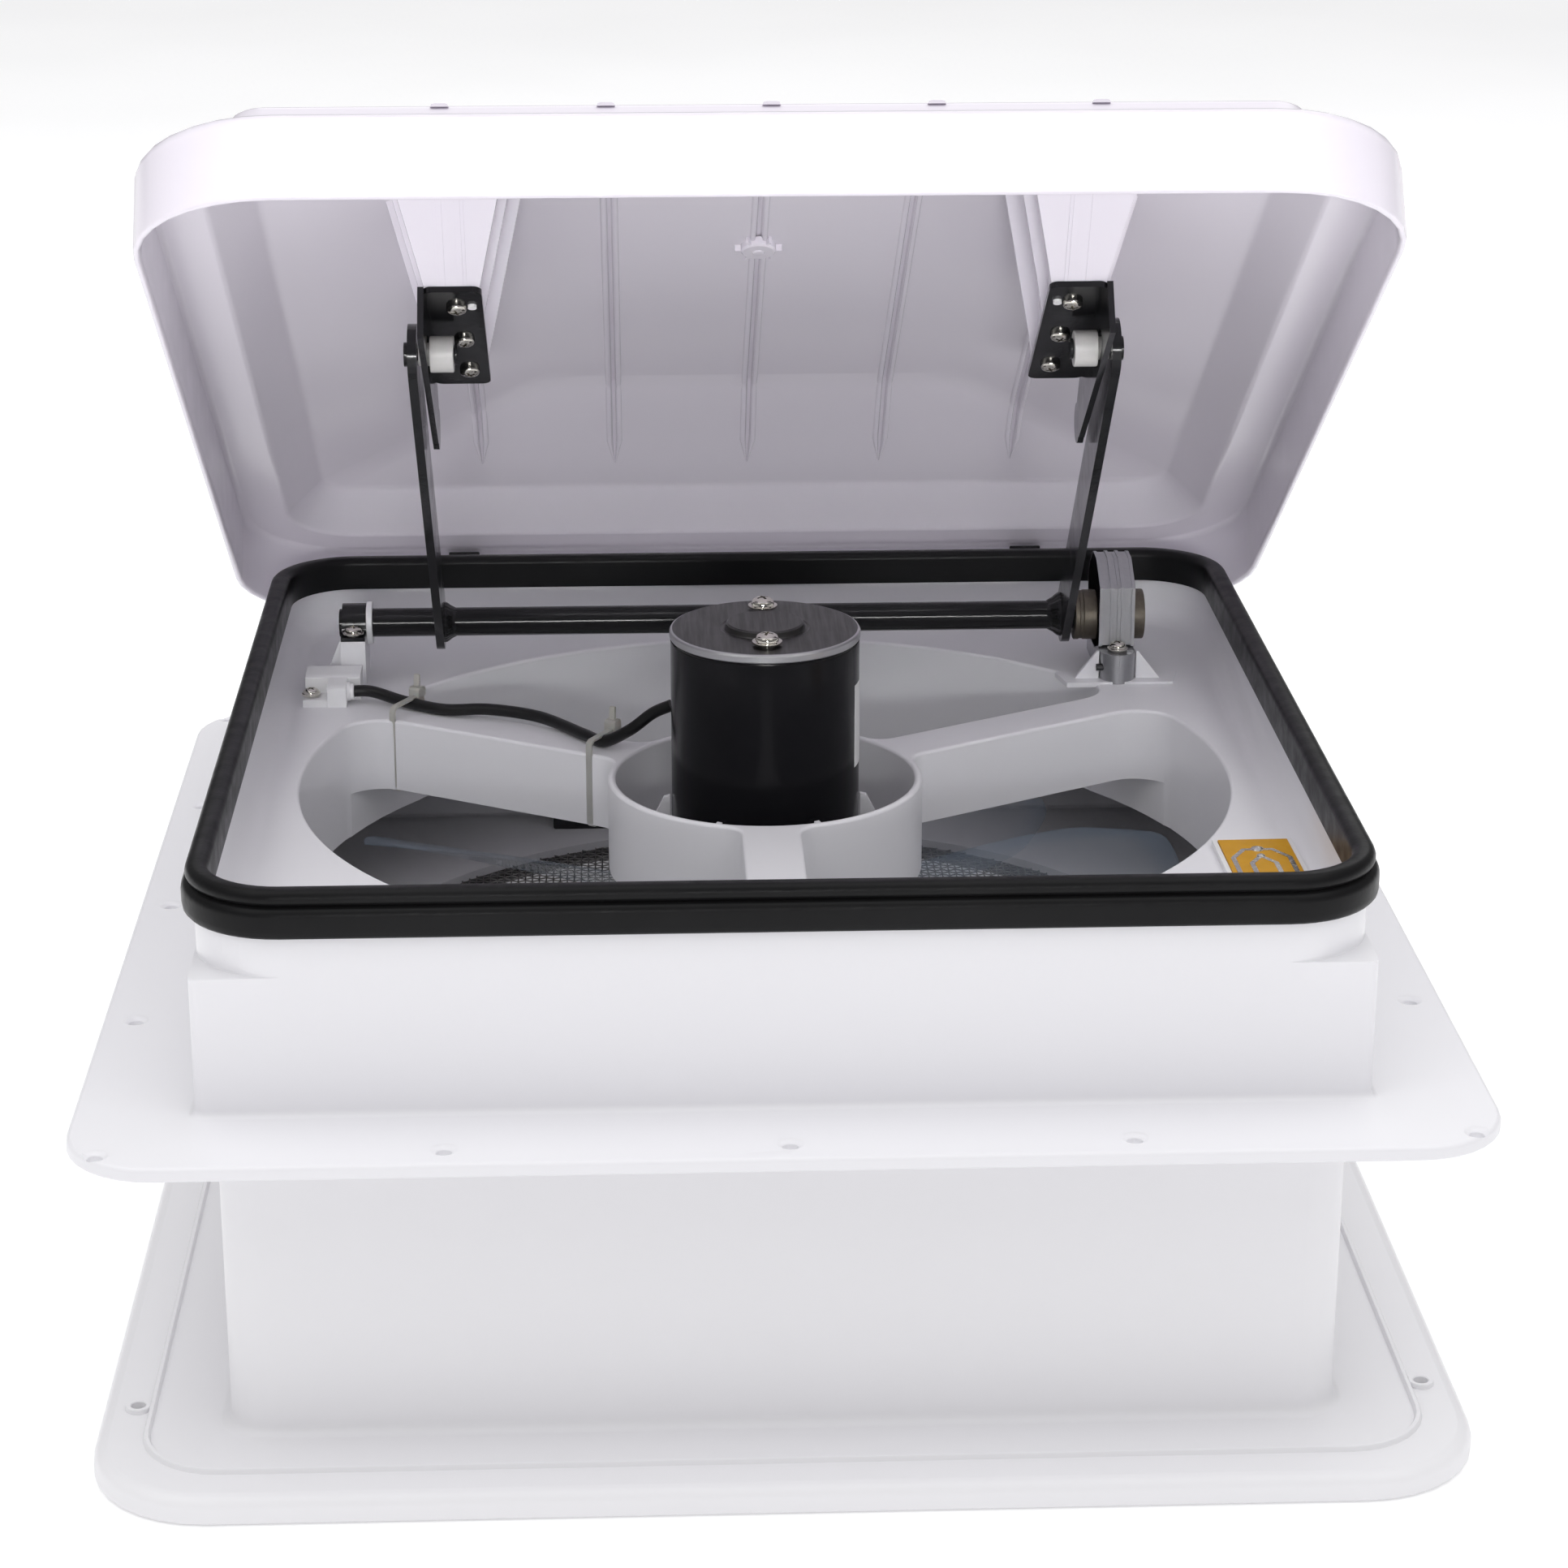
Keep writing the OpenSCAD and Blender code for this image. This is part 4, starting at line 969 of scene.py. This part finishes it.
def label_shape():
    s = Shape()
    r, top, low = can_hi.x + 0.05, label_hi.z, label_lo.z
    section = ((r, low), (r + 0.14, low + 0.1), (r + 0.14, top - 0.1), (r, top))
    angles = [radians(-21.5 + 82 * i / 40) for i in range(41)]
    return s.loft([s.ring([(q * cos(a), q * sin(a), z) for q, z in section]) for a in angles])


make(label_shape(), "motor_label_blank", 30, True, "base", "label", "label_white", "motor_label")


# ---- Blades and fan hub ----
def blade_shape(angle):
    """Cambered, twisted blade that narrows to a rounded tip."""
    s = Shape()
    rows, cols, r0, r1 = 16, 10, 43.0, 150.0
    faces = ([], [])
    for i in range(rows + 1):
        t = i / rows
        chord = 22 + 25 * sin(pi * min(1, t * 1.02) * 0.62) - 14 * max(0.0, t - 0.72) / 0.28
        pitch = radians(33 - 12 * t)
        depth, start = {rows: (12.0, 0.55), rows - 1: (4.8, 0.7)}.get(i, (0.0, 0.0))
        lines = ([], [])
        for k in range(cols + 1):
            u = k / cols - 0.5
            end_in = depth * max(0.0, abs(u) * 2 - start) ** 2
            c = u * chord - 3 + 7 * t * t
            camber = 3.2 * (1 - 4 * u * u)
            thick = 0.9 * (1 - 0.7 * (2 * abs(u)) ** 3)
            y = c * cos(pitch) - camber * sin(pitch) * 0.3
            z = 2 + c * sin(pitch) + camber * cos(pitch) * 0.7
            x = sqrt(max(0.0, (r0 + (r1 - r0) * t - end_in) ** 2 - y * y))
            lines[0].append((x, y, z + thick))
            lines[1].append((x, y, z - thick))
        for face, line in zip(faces, lines):
            face.append(s.ring(line))
    top, low = faces
    s.chain(top, closed=False)
    s.chain([list(reversed(r)) for r in low], closed=False)
    s.bridge(top[0], low[0], closed=False)
    s.bridge(low[-1], top[-1], closed=False)
    s.faces += [(top[i][0], top[i + 1][0], low[i + 1][0], low[i][0]) for i in range(rows)]
    s.faces += [(top[i + 1][-1], top[i][-1], low[i][-1], low[i + 1][-1]) for i in range(rows)]
    return s.moved(turn("Z", angle))


BLADES = 10
blades = Shape()
for k in range(BLADES):
    blades.add(blade_shape(360 / BLADES * k + 11))
make(blades, "fan_paddles", 60, False, "fan", "blade", "clear_blade", "fan_blades")


def fan_hub_shape():
    r, z0, z1 = hub_hi.x, hub_lo.z, hub_hi.z
    s = lathe([(4.0, z0), (r - 1.5, z0), (r - 0.4, z0 + 0.4), (r, z0 + 1.5), (r, z1 - 0.5), (r - 0.5, z1),
        (r - 1.7, z1), (r - 2.2, z1 - 0.5), (r - 2.5, z0 + 3.5), (r - 3.5, z0 + 2.5), (9.5, z0 + 2.5), (9, z0 + 3),
        (8.8, z1 + 0.5), (8.3, z1 + 1), (4.5, z1 + 1), (4.0, z1 + 0.5)], 80)
    for k in range(6):
        s.add(prism([(8.6, z0 + 2), (r - 2.2, z0 + 2), (r - 2.2, z0 + 14), (8.6, z1 - 3)], "y", -1, 1)
            .moved(turn("Z", 60 * k)))
    return s


make(fan_hub_shape(), "fan_hub_moulding", 40, True, "fan", "blade", "clear_blade", "fan_hub")

# ---- Cable and ties ----
cable_path = spline([(-148, 84, 53.5), (-139, 84, 53.4), (-127, 77.5, 51.6), (-112, 68, 51.4), (-96, 64.5, 52.4),
    (-78, 57, 51.8), (-62, 38, 51.4), (-55, 30, 51.5), (-46, 25.5, 57), (-38, 24, 63.5), (-31.5, 22, 67)], 12)
make(sweep(cable_path, 2.1, 16), "motor_cable_jacket", 60, False, "base", "cable", "cable_black", "motor_cable")


def tie_shape(reach):
    """Cable tie around a spoke: strap, ratchet head and cut tail."""
    s = Shape()
    half, top, low, r = 10.0, 4.9, -27.2, 2.5
    path = rrect(2 * half, top - low, r, 0, side=4, arc=6, cy=(top + low) / 2)
    inner = rrect(2 * half - 1.9, top - low - 1.9, r - 0.9, 0, side=4, arc=6, cy=(top + low) / 2)
    rings = [s.ring([(dx, p.x, p.y) for p in loop]) for loop, dx in (
        (path, -1.2), (path, 1.2), (inner, 1.2), (inner, -1.2))]
    s.chain(rings)
    s.bridge(rings[-1], rings[0])
    s.add(prism([(-9.2, top - 0.6), (-4.6, top - 0.6), (-4.6, top + 2.2), (-5.2, top + 3.0), (-8.6, top + 3.0),
        (-9.2, top + 2.2)], "x", -2.2, 2.2))
    s.add(prism([(-7.4, top + 2.6), (-6.2, top + 2.6), (-6.6, top + 7.6), (-7.6, top + 7.6)], "x", -1.1, 1.1))
    return s.moved(turn("Z", 150) @ shift(reach, 0, DECK))


ties = Shape()
for reach in (145, 64):
    ties.add(tie_shape(reach))
piece(rounded(ties, "cable_tie_pair", 0.25, 32, 2), "base", "tie", "nylon", "cable_ties")


# ---- Lift shaft and arms ----
ARM = shift(0, SHAFT.y, SHAFT.z) @ turn("X", 133.2)


def arm_shape(x):
    outline = arc_points(0, 0, 10, range(90, 271, 9)) + arc_points(174.9, 0, 10, range(-90, 91, 9))
    dense = []
    for a, b in zip(outline, outline[1:] + outline[:1]):
        steps = 14 if abs(a[0] - b[0]) > 60 else 1
        dense += [(a[0] + (b[0] - a[0]) * k / steps, a[1] + (b[1] - a[1]) * k / steps) for k in range(steps)]
    return prism(dense, "x", x - 1.5, x + 1.5)


def weld_shape(side):
    """Fillet weld between the shaft and an arm, laid in overlapping beads."""
    s = Shape()
    rng = random.Random(5 + side)
    tube = shaft_hi.z - SHAFT.z
    n = 84
    lumps = [rng.uniform(-1, 1) for _ in range(14)]
    rings = []
    for r_base, off in ((tube - 0.2, 0.0), (7.6, 0.0), (7.4, 0.8), (6.9, 1.6), (6.2, 2.5), (5.7, 3.6), (5.2, 4.6)):
        pts = []
        for i in range(n):
            a = 2 * pi * i / n
            u = i / n * len(lumps)
            here, ahead = lumps[int(u) % len(lumps)], lumps[(int(u) + 1) % len(lumps)]
            lump = here + (ahead - here) * (0.5 - 0.5 * cos(pi * (u % 1)))
            share = (r_base - tube) / (7.6 - tube)
            r = r_base + (0.9 * lump + 0.3 * abs(sin(10 * a))) * max(0.0, share)
            pts.append((off * (1 + 0.25 * lump), r * cos(a), r * sin(a)))
        rings.append(s.ring(pts))
    s.chain(rings)
    s.bridge(rings[-1], rings[0])
    flip = Matrix.Diagonal((-side, 1, 1, 1))
    return s.moved(shift(side * 113.4, 0, 0) @ flip)


for side, tag in ((-1, "left"), (1, "right")):
    arm_obj = rounded(arm_shape(side * 115).moved(ARM), "lift_arm_" + tag, 0.5, 40, 3)
    piece(arm_obj, "lift", "paint", "black_steel", "arm_" + tag)
welds = Shape()
for side in (-1, 1):
    welds.add(weld_shape(side).moved(ARM))
make(welds, "arm_weld_fillets", 60, False, "lift", "paint", "black_steel", "weld_beads")


# ---- Ceiling trim ----
def trim_shape():
    """Ceiling trim: neck, face with a raised bead, rolled edge, and a shelf with the air hole."""
    s = Shape()
    w, d = trim_hi.x - trim_lo.x, trim_hi.y - trim_lo.y
    low, top, plate = trim_lo.z, trim_hi.z, -105.6
    neck, wall, bend, edge = 346.5, 2.5, 3.5, 4.0
    inner = neck - 2 * wall
    loops = [(neck - 0.8, neck - 0.8, 12.6, top), (neck, neck, 13, top - 0.6), (neck, neck, 13, plate + bend)]
    for a in quarter(4)[1:]:
        o = bend * (1 - cos(a))
        loops.append((neck + 2 * o, neck + 2 * o, 13 + o, plate + bend * (1 - sin(a))))
    loops += [(w - o, d - o, r, plate + up) for o, r, up in (
        (34.4, 24, 0), (34, 24.2, 0.4), (33.6, 24.4, 1.3), (33, 24.7, 1.6), (31, 25.5, 1.6), (30.4, 25.8, 1.3),
        (30, 26, 0.4), (29.6, 26.2, 0), (9, 34, 0))]
    for a in quarter(5):
        o = edge * (1 - sin(a))
        loops.append((w - 2 * o, d - 2 * o, 38 - o, plate - 0.2 - edge * (1 - cos(a))))
    loops += [(w - o, d - o, r, z) for o, r, z in ((0, 38, low + 0.7), (1.4, 37.3, low), (4, 36, low),
        (5.2, 35.5, low + 0.7), (5.2, 35.5, plate - 5), (9, 34, plate - 3))]
    loops += [(inner, inner, 10.5, plate - 3), (inner, inner, 10.5, ring_hi.z)]
    rings = [s.rect(a, b, r, z) for a, b, r, z in loops]
    s.chain(rings)
    shelf = ring_hi.z + 3.0
    hole = [s.ring(circle(152, z, 120)) for z in (ring_hi.z, shelf)]
    s.fill(rings[-1], hole[0])
    s.chain(hole)
    inside = [s.rect(inner, inner, 10.5, z) for z in (shelf, top)]
    s.fill(inside[0], hole[1])
    s.chain(inside)
    s.bridge(inside[-1], rings[0])
    return s


trim = as_object(trim_shape(), "ceiling_trim_moulding")
boss_cuts, bosses = Shape(), Shape()
for x, y in [(x, y) for x in (-TRIM_X, TRIM_X) for y in (-TRIM_Y, TRIM_Y)]:
    boss_cuts.add(lathe([(0, -120), (2.35, -120), (2.35, -100), (0, -100)], 28, x, y))
    bosses.add(lathe([(2.35, -110.1), (3.9, -110.1), (4.1, -109.9), (4.1, -104.6), (3.8, -104.1), (2.7, -104.1),
                      (2.35, -104.4)], 32, x, y))
for x in (-CLIP_X, CLIP_X):
    boss_cuts.add(lathe([(0, -34), (1.5, -34), (1.5, -20), (0, -20)], 20, x, 0))
cut(trim, boss_cuts)
smooth(trim, 38)
piece(trim, "base", "trim", "trim_white", "ceiling_trim")
make(bosses, "trim_screw_bosses", 38, True, "base", "trim", "trim_white")


# ---- Woven screen ----
def woven(pitch, radius, wire, z):
    """Plain weave of fine wires inside a circle."""
    s = Shape()
    count = int(radius // pitch)
    for direction in (0, 1):
        for i in range(-count, count + 1):
            half = sqrt(radius * radius - (i * pitch) ** 2)
            steps = int(half // pitch)
            if steps < 2:
                continue
            rings = []
            for k in range(-steps, steps + 1):
                for frac in (0.0, 0.5):
                    if k == steps and frac:
                        continue
                    p = (k + frac) * pitch
                    up = 0.0 if frac else (1 if (i + k + direction) % 2 else -1) * wire * 0.9
                    a, b = p, i * pitch
                    pts = [(a, b - wire, z + up), (a, b, z + up + wire), (a, b + wire, z + up), (a, b, z + up - wire)]
                    if direction:
                        pts = [(q[1], q[0], q[2]) for q in pts]
                    rings.append(s.ring(pts))
            s.chain(rings)
            s.faces.append(tuple(reversed(rings[0])))
            s.faces.append(tuple(rings[-1]))
    return s


make(woven(2.6, 150.8, 0.28, mesh_lo.z + 0.9), "insect_screen", 60, False, "base", "mesh", "mesh_dark",
    "screen_mesh")

# ---- Gearbox ----
SPLIT = corners("gearbox_left")[1].x
COLUMN_Y = 101.0


def gear_profile(grow):
    """Side outline of the gearbox above its foot, in (y, z)."""
    g = grow
    pts = [(104.9 - g, 61 - g), (117, 57 - g), (136, 56 - g), (140.2 + g, 60), (140.2 + g, 80)]
    pts += [(131.5 + g * 0.7, 88.4 + g * 0.7), (129.5, 89.6 + g), (127.5, 90 + g), (119.2 - g * 0.4, 90 + g),
        (104.9 - g, 82.5 + g * 0.5)]
    return pts


def gear_half(low, high):
    """One casting half with a raised band by the parting line and another on its outer face."""
    sign = 1 if high > SPLIT + 0.1 else -1
    mid, outer = (low, high) if sign > 0 else (high, low)
    s = prism(gear_profile(0), "x", low, high)
    s.add(prism(gear_profile(0.55), "x", *sorted((mid + sign * 1.3, mid + sign * 2.5))))
    s.add(prism(gear_profile(0.35), "x", *sorted((outer, outer - sign * 1.2))))
    return s


def gear_foot(low, high):
    """Foot pad of a casting half and the block under its screw."""
    s, pad = Shape(), DECK + 0.02
    for y0, y1, top in ((116.7, 140.0, 57), (103, 117, 59.8)):
        s.add(prism([(y0, pad), (y1, pad), (y1, top), (y0, top)], "x", low, high))
    return s


def half_round(sign):
    """Half of the front screw column, cut at the parting line."""
    n = 20
    pts = [(SPLIT + sign * 6.4 * sin(a), COLUMN_Y - 6.4 * cos(a)) for a in (pi * i / n for i in range(1, n))]
    inner = SPLIT + sign * 0.02
    return prism([(inner, COLUMN_Y - 6.4), *pts, (inner, COLUMN_Y + 6.4)], "z", DECK + 0.02, 60.0)


for sign, node, low, high in ((-1, "gearbox_left", SPLIT - 6.5, SPLIT - 0.03),
        (1, "gearbox_right", SPLIT + 0.03, SPLIT + 6.5)):
    casting = gear_half(low, high)
    casting.add(gear_foot(low, high)).add(half_round(sign))
    piece(rounded(casting, "casting_" + node, 0.45, 40, 2), "base", "zinc", "cast_zinc", node)
nose = lathe([(0, 0), (8.9, 0), (9.2, 0.3), (9.2, 1.8), (8.9, 2.1), (8.9, 3.2), (9.2, 3.5), (9.2, 8.0), (8.9, 8.3),
    (0, 8.3)], 64)
for k in range(12):
    nose.add(prism([(8.7, -0.9), (9.7, -0.7), (9.7, 0.7), (8.7, 0.9)], "z", 3.8, 7.7).moved(turn("Z", 30 * k)))
NOSE = shift(118.2, SHAFT.y, SHAFT.z) @ turn("Y", 90)
nose.moved(NOSE)
bore_r = shaft_hi.z - SHAFT.z + 0.05
bore = lathe([(0, -2), (bore_r, -2), (bore_r, 12), (0, 12)], 64)
nose_obj = as_object(nose, "bushing_fluted")
cut(nose_obj, bore.moved(NOSE))
smooth(nose_obj, 38)
piece(nose_obj, "base", "bronze", "bronze", "bushing_left")
screw("gearbox_screw_front", 6.2, 3.0, shift(SPLIT, COLUMN_Y, 60.6) @ turn("Z", 25), 3.7, "base", "gearbox_screws")

# ---- Shaft clamp, cable box and their screws ----
def strap_shape():
    """Strap over the shaft end: front foot, leg, arch and rear foot in one folded plate."""
    t, y, z, foot = 1.5, SHAFT.y, SHAFT.z, clamp_lo.z
    r_out = clamp_hi.z - z
    r_in = r_out - t
    arch = range(180, -1, -15)
    outer = [(clamp_lo.y, foot + t), (y - r_out - 1.2, foot + t), (y - r_out - 0.3, foot + t + 0.3),
        (y - r_out, foot + t + 1.2), *arc_points(y, z, r_out, arch), (y + r_out, z + t), (clamp_hi.y, z + t)]
    inner = [(clamp_lo.y, foot), (y - r_in - 1.2, foot), (y - r_in - 0.3, foot + 0.1), (y - r_in, foot + 0.9),
             *arc_points(y, z, r_in, arch), (y + r_in, z + 0.02), (clamp_hi.y, z + 0.02)]
    s = Shape()
    lo, hi = clamp_lo.x, clamp_hi.x
    return s.loft([s.ring([(lo, *a), (hi, *a), (hi, *b), (lo, *b)]) for a, b in zip(outer, inner)])


clamp = rounded(strap_shape(), "shaft_strap", 0.3, 40, 2)
piece(clamp, "base", "paint", "black_steel", "shaft_clamp")
where = shift((clamp_lo.x + clamp_hi.x) / 2, SHAFT.y - 10.5, clamp_lo.z + 2.1) @ turn("Z", 20)
screw("strap_screw", 6.4, 2.6, where, 3.8, "base", "clamp_screw")


def cable_box_shape():
    s = prism([(88.5, DECK - 0.3), (101, DECK - 0.3), (101, DECK + 9), (91, DECK + 9), (88.5, DECK + 8.2)],
              "x", -163, -143)
    s.add(prism([(79.2, DECK - 0.3), (90, DECK - 0.3), (90, DECK + 8.4), (81.5, DECK + 7.8), (79.2, DECK + 7.2)],
                "x", -154.6, -147.6))
    s.add(prism([(79.6, DECK - 0.3), (89, DECK - 0.3), (89, DECK + 2.7), (79.6, DECK + 2.7)], "x", -163.4, -154))
    s.add(lathe([(0, -1), (3.4, -1), (3.4, 1.2), (2.9, 1.5), (2.9, 2.6), (0, 2.6)], 32)
          .moved(shift(-147.7, 84, 53.5) @ turn("Y", 90)))
    return s


junction = rounded(cable_box_shape(), "junction_box", 0.7, 40, 3)
piece(junction, "base", "small", "small_white", "cable_box")
screw("junction_screw", 5.8, 2.4, shift(-160.6, 84.7, DECK + 3.3) @ turn("Z", 40), 3.4, "base", "cable_box_screw")

# ---- Rain sensor traces ----
SENSOR = shift(155.3, -100, 0) @ turn("Z", 1)


def strip(points, width, z0, z1):
    """Flat conductor along a polyline, mitred at its corners."""
    s = Shape()
    pts = [Vector((*p, 0)) for p in points]
    left, right = [], []
    for i, p in enumerate(pts):
        a = (pts[i] - pts[i - 1]).normalized() if i else (pts[1] - pts[0]).normalized()
        b = (pts[i + 1] - pts[i]).normalized() if i < len(pts) - 1 else a
        t = (a + b).normalized()
        n = Vector((-t.y, t.x, 0)) / max(0.5, cos(a.angle(b) / 2))
        left.append(p + n * width / 2)
        right.append(p - n * width / 2)
    rings = [s.ring([(l.x, l.y, z0), (r.x, r.y, z0), (r.x, r.y, z1), (l.x, l.y, z1)]) for l, r in zip(left, right)]
    return s.loft(rings)


BOARD_TOP = corners("rain_board")[1].z
traces = strip([(-9.1, -18.9), (-9.1, 5.2), (-4.6, 12.7), (4.6, 12.7), (9.1, 5.2), (9.1, -18.9)], 1.6,
               BOARD_TOP - 0.02, BOARD_TOP + 0.14)
traces.add(strip([(-3.9, -18.9), (-3.9, 0.3), (0, 6.6), (3.9, 0.3), (3.9, -18.9)], 1.6,
                 BOARD_TOP - 0.02, BOARD_TOP + 0.14))
for x, y, size in ((0, 13.2, 2.2), (0, 6.6, 1.5)):
    traces.add(lathe([(0, BOARD_TOP), (size, BOARD_TOP), (size * 0.9, BOARD_TOP + 0.35), (size * 0.5, BOARD_TOP + 0.7),
        (0, BOARD_TOP + 0.8)], 24, x, y))
make(traces.moved(SENSOR), "sensor_traces", 30, True, "base", "trace", "trace_silver", "rain_traces")

# ---- CAD nodes that keep their shape ----
KEPT = (("screw", 0.3, "hinge_pins fan_nut"), ("small", 0.3, "shaft_washer clip_left clip_right"),
    ("plated", 0.1, "set_screw"), ("bronze", 0.4, "bushing_right"), ("bronze", 0.2, "motor_bearings"),
    ("can", 0.4, "lift_motor"), ("brass", 0, "worm"), ("brass", 0.1, "worm_wheel"),
    ("paint", 0.3, "lift_shaft roller_pins hinge_leaves"), ("roller", 0.4, "roller_left roller_right"),
    ("paint", 0.4, "bracket_left bracket_right"), ("small", 0.2, "bracket_pegs rain_frame"),
    ("magnet", 0.3, "motor_magnets"), ("copper", 0.2, "motor_rotor"), ("shaft", 0.3, "motor_shaft"),
    ("board", 0.15, "rain_board"), ("black", 0.6, "control_box"), ("screen_ring", 0.4, "screen_frame"),
    ("panel", 0.4, "panel_bezel"), ("green", 0.1, "panel_board"), ("red", 0.4, "button_one"),
    ("grey", 0.4, "button_two button_three button_four"))
for finish, width, nodes in KEPT:
    for node in nodes.split():
        keep(node, finish, width)


# ---- Floor, light and camera ----
def floor_material():
    f = Finish("studio_floor", (0.88, 0.88, 0.885), 0.6).mottle(0.8, 0.2, (0.86, 0.86, 0.865)).gloss(3, 0.05)
    f.bsdf.inputs["Emission Color"].default_value = (1, 1, 1, 1)
    f.bsdf.inputs["Emission Strength"].default_value = 0.24
    # Clear from below, so that the underside of the object can be seen.
    tree = f.mat.node_tree
    side, clear = tree.nodes.new("ShaderNodeNewGeometry"), tree.nodes.new("ShaderNodeBsdfTransparent")
    mix = tree.nodes.new("ShaderNodeMixShader")
    tree.links.new(side.outputs["Backfacing"], mix.inputs[0])
    tree.links.new(f.bsdf.outputs[0], mix.inputs[1])
    tree.links.new(clear.outputs[0], mix.inputs[2])
    tree.links.new(mix.outputs[0], tree.nodes["Material Output"].inputs["Surface"])
    return f.mat


floor_mesh = bpy.data.meshes.new("floor")
bm = bmesh.new()
bmesh.ops.create_grid(bm, x_segments=4, y_segments=4, size=9.0)
bm.to_mesh(floor_mesh)
bm.free()
floor = bpy.data.objects.new("floor", floor_mesh)
bpy.context.scene.collection.objects.link(floor)
floor.location.z = cad_box[0][2] - 0.0005
floor.data.materials.append(floor_material())


def area(name, place, target, size, watts, spread=180):
    data = bpy.data.lights.new(name, "AREA")
    data.shape, data.size, data.size_y = "RECTANGLE", size[0], size[1]
    data.energy, data.spread = watts, radians(spread)
    lamp = bpy.data.objects.new(name, data)
    lamp.location = place
    lamp.rotation_euler = (Vector(target) - Vector(place)).to_track_quat("-Z", "Y").to_euler()
    bpy.context.scene.collection.objects.link(lamp)


area("top_softbox", (0.0, -0.1, 1.9), (0, 0, 0), (2.6, 2.0), 17)
area("key_left", (-1.5, -1.4, 1.9), (0, 0, 0.08), (1.3, 1.3), 4)
area("fill_right", (1.5, -1.4, 1.8), (0, 0, 0.08), (1.2, 1.2), 3)
area("front_high", (0.0, -1.9, 1.9), (0, 0, 0.05), (2.0, 0.8), 1.5)
area("lid_fill", (0.0, -1.15, 0.30), (0, 0.1, 0.215), (0.7, 0.06), 0.24, spread=24)
area("back_light", (0.3, 2.2, 1.4), (0, 0, 0.1), (1.8, 1.0), 6)


def studio_world():
    """Pale sky, greyer towards the floor, and weaker where it is only mirrored."""
    world = bpy.data.worlds.new("studio")
    bpy.context.scene.world = world
    world.use_nodes = True
    tree = world.node_tree
    back = tree.nodes["Background"]

    def span(source, *limits):
        node = tree.nodes.new("ShaderNodeMapRange")
        for key, value in zip(("From Min", "From Max", "To Min", "To Max"), limits):
            node.inputs[key].default_value = value
        tree.links.new(source, node.inputs["Value"])
        return node.outputs["Result"]

    coord, split = tree.nodes.new("ShaderNodeTexCoord"), tree.nodes.new("ShaderNodeSeparateXYZ")
    blend, path = tree.nodes.new("ShaderNodeMix"), tree.nodes.new("ShaderNodeLightPath")
    blend.data_type = "RGBA"
    blend.inputs[6].default_value = (0.60, 0.59, 0.62, 1)
    blend.inputs[7].default_value = (1.0, 1.0, 1.0, 1)
    tree.links.new(coord.outputs["Generated"], split.inputs[0])
    tree.links.new(span(split.outputs["Z"], -0.1, 0.8, 0.0, 1.0), blend.inputs[0])
    tree.links.new(blend.outputs[2], back.inputs["Color"])
    tree.links.new(span(path.outputs["Is Glossy Ray"], 0.0, 1.0, 0.84, 0.22), back.inputs["Strength"])


studio_world()

PITCH, DRIFT, RISE = radians(23.09), 0.0389, 0.0662
camera_data = bpy.data.cameras.new("camera")
camera_data.lens, camera_data.sensor_width = 87.5, 36.0
camera = bpy.data.objects.new("camera", camera_data)
camera.location = (-0.04408, -1.22852, 0.4756)
look = (Vector((0, cos(PITCH), -sin(PITCH))) + Vector((1, 0, 0)) * DRIFT
        + Vector((0, sin(PITCH), cos(PITCH))) * RISE)
camera.rotation_euler = look.to_track_quat("-Z", "Y").to_euler()
bpy.context.scene.collection.objects.link(camera)
bpy.context.scene.camera = camera
bpy.context.scene.view_settings.view_transform = "Standard"

bpy.context.view_layer.update()
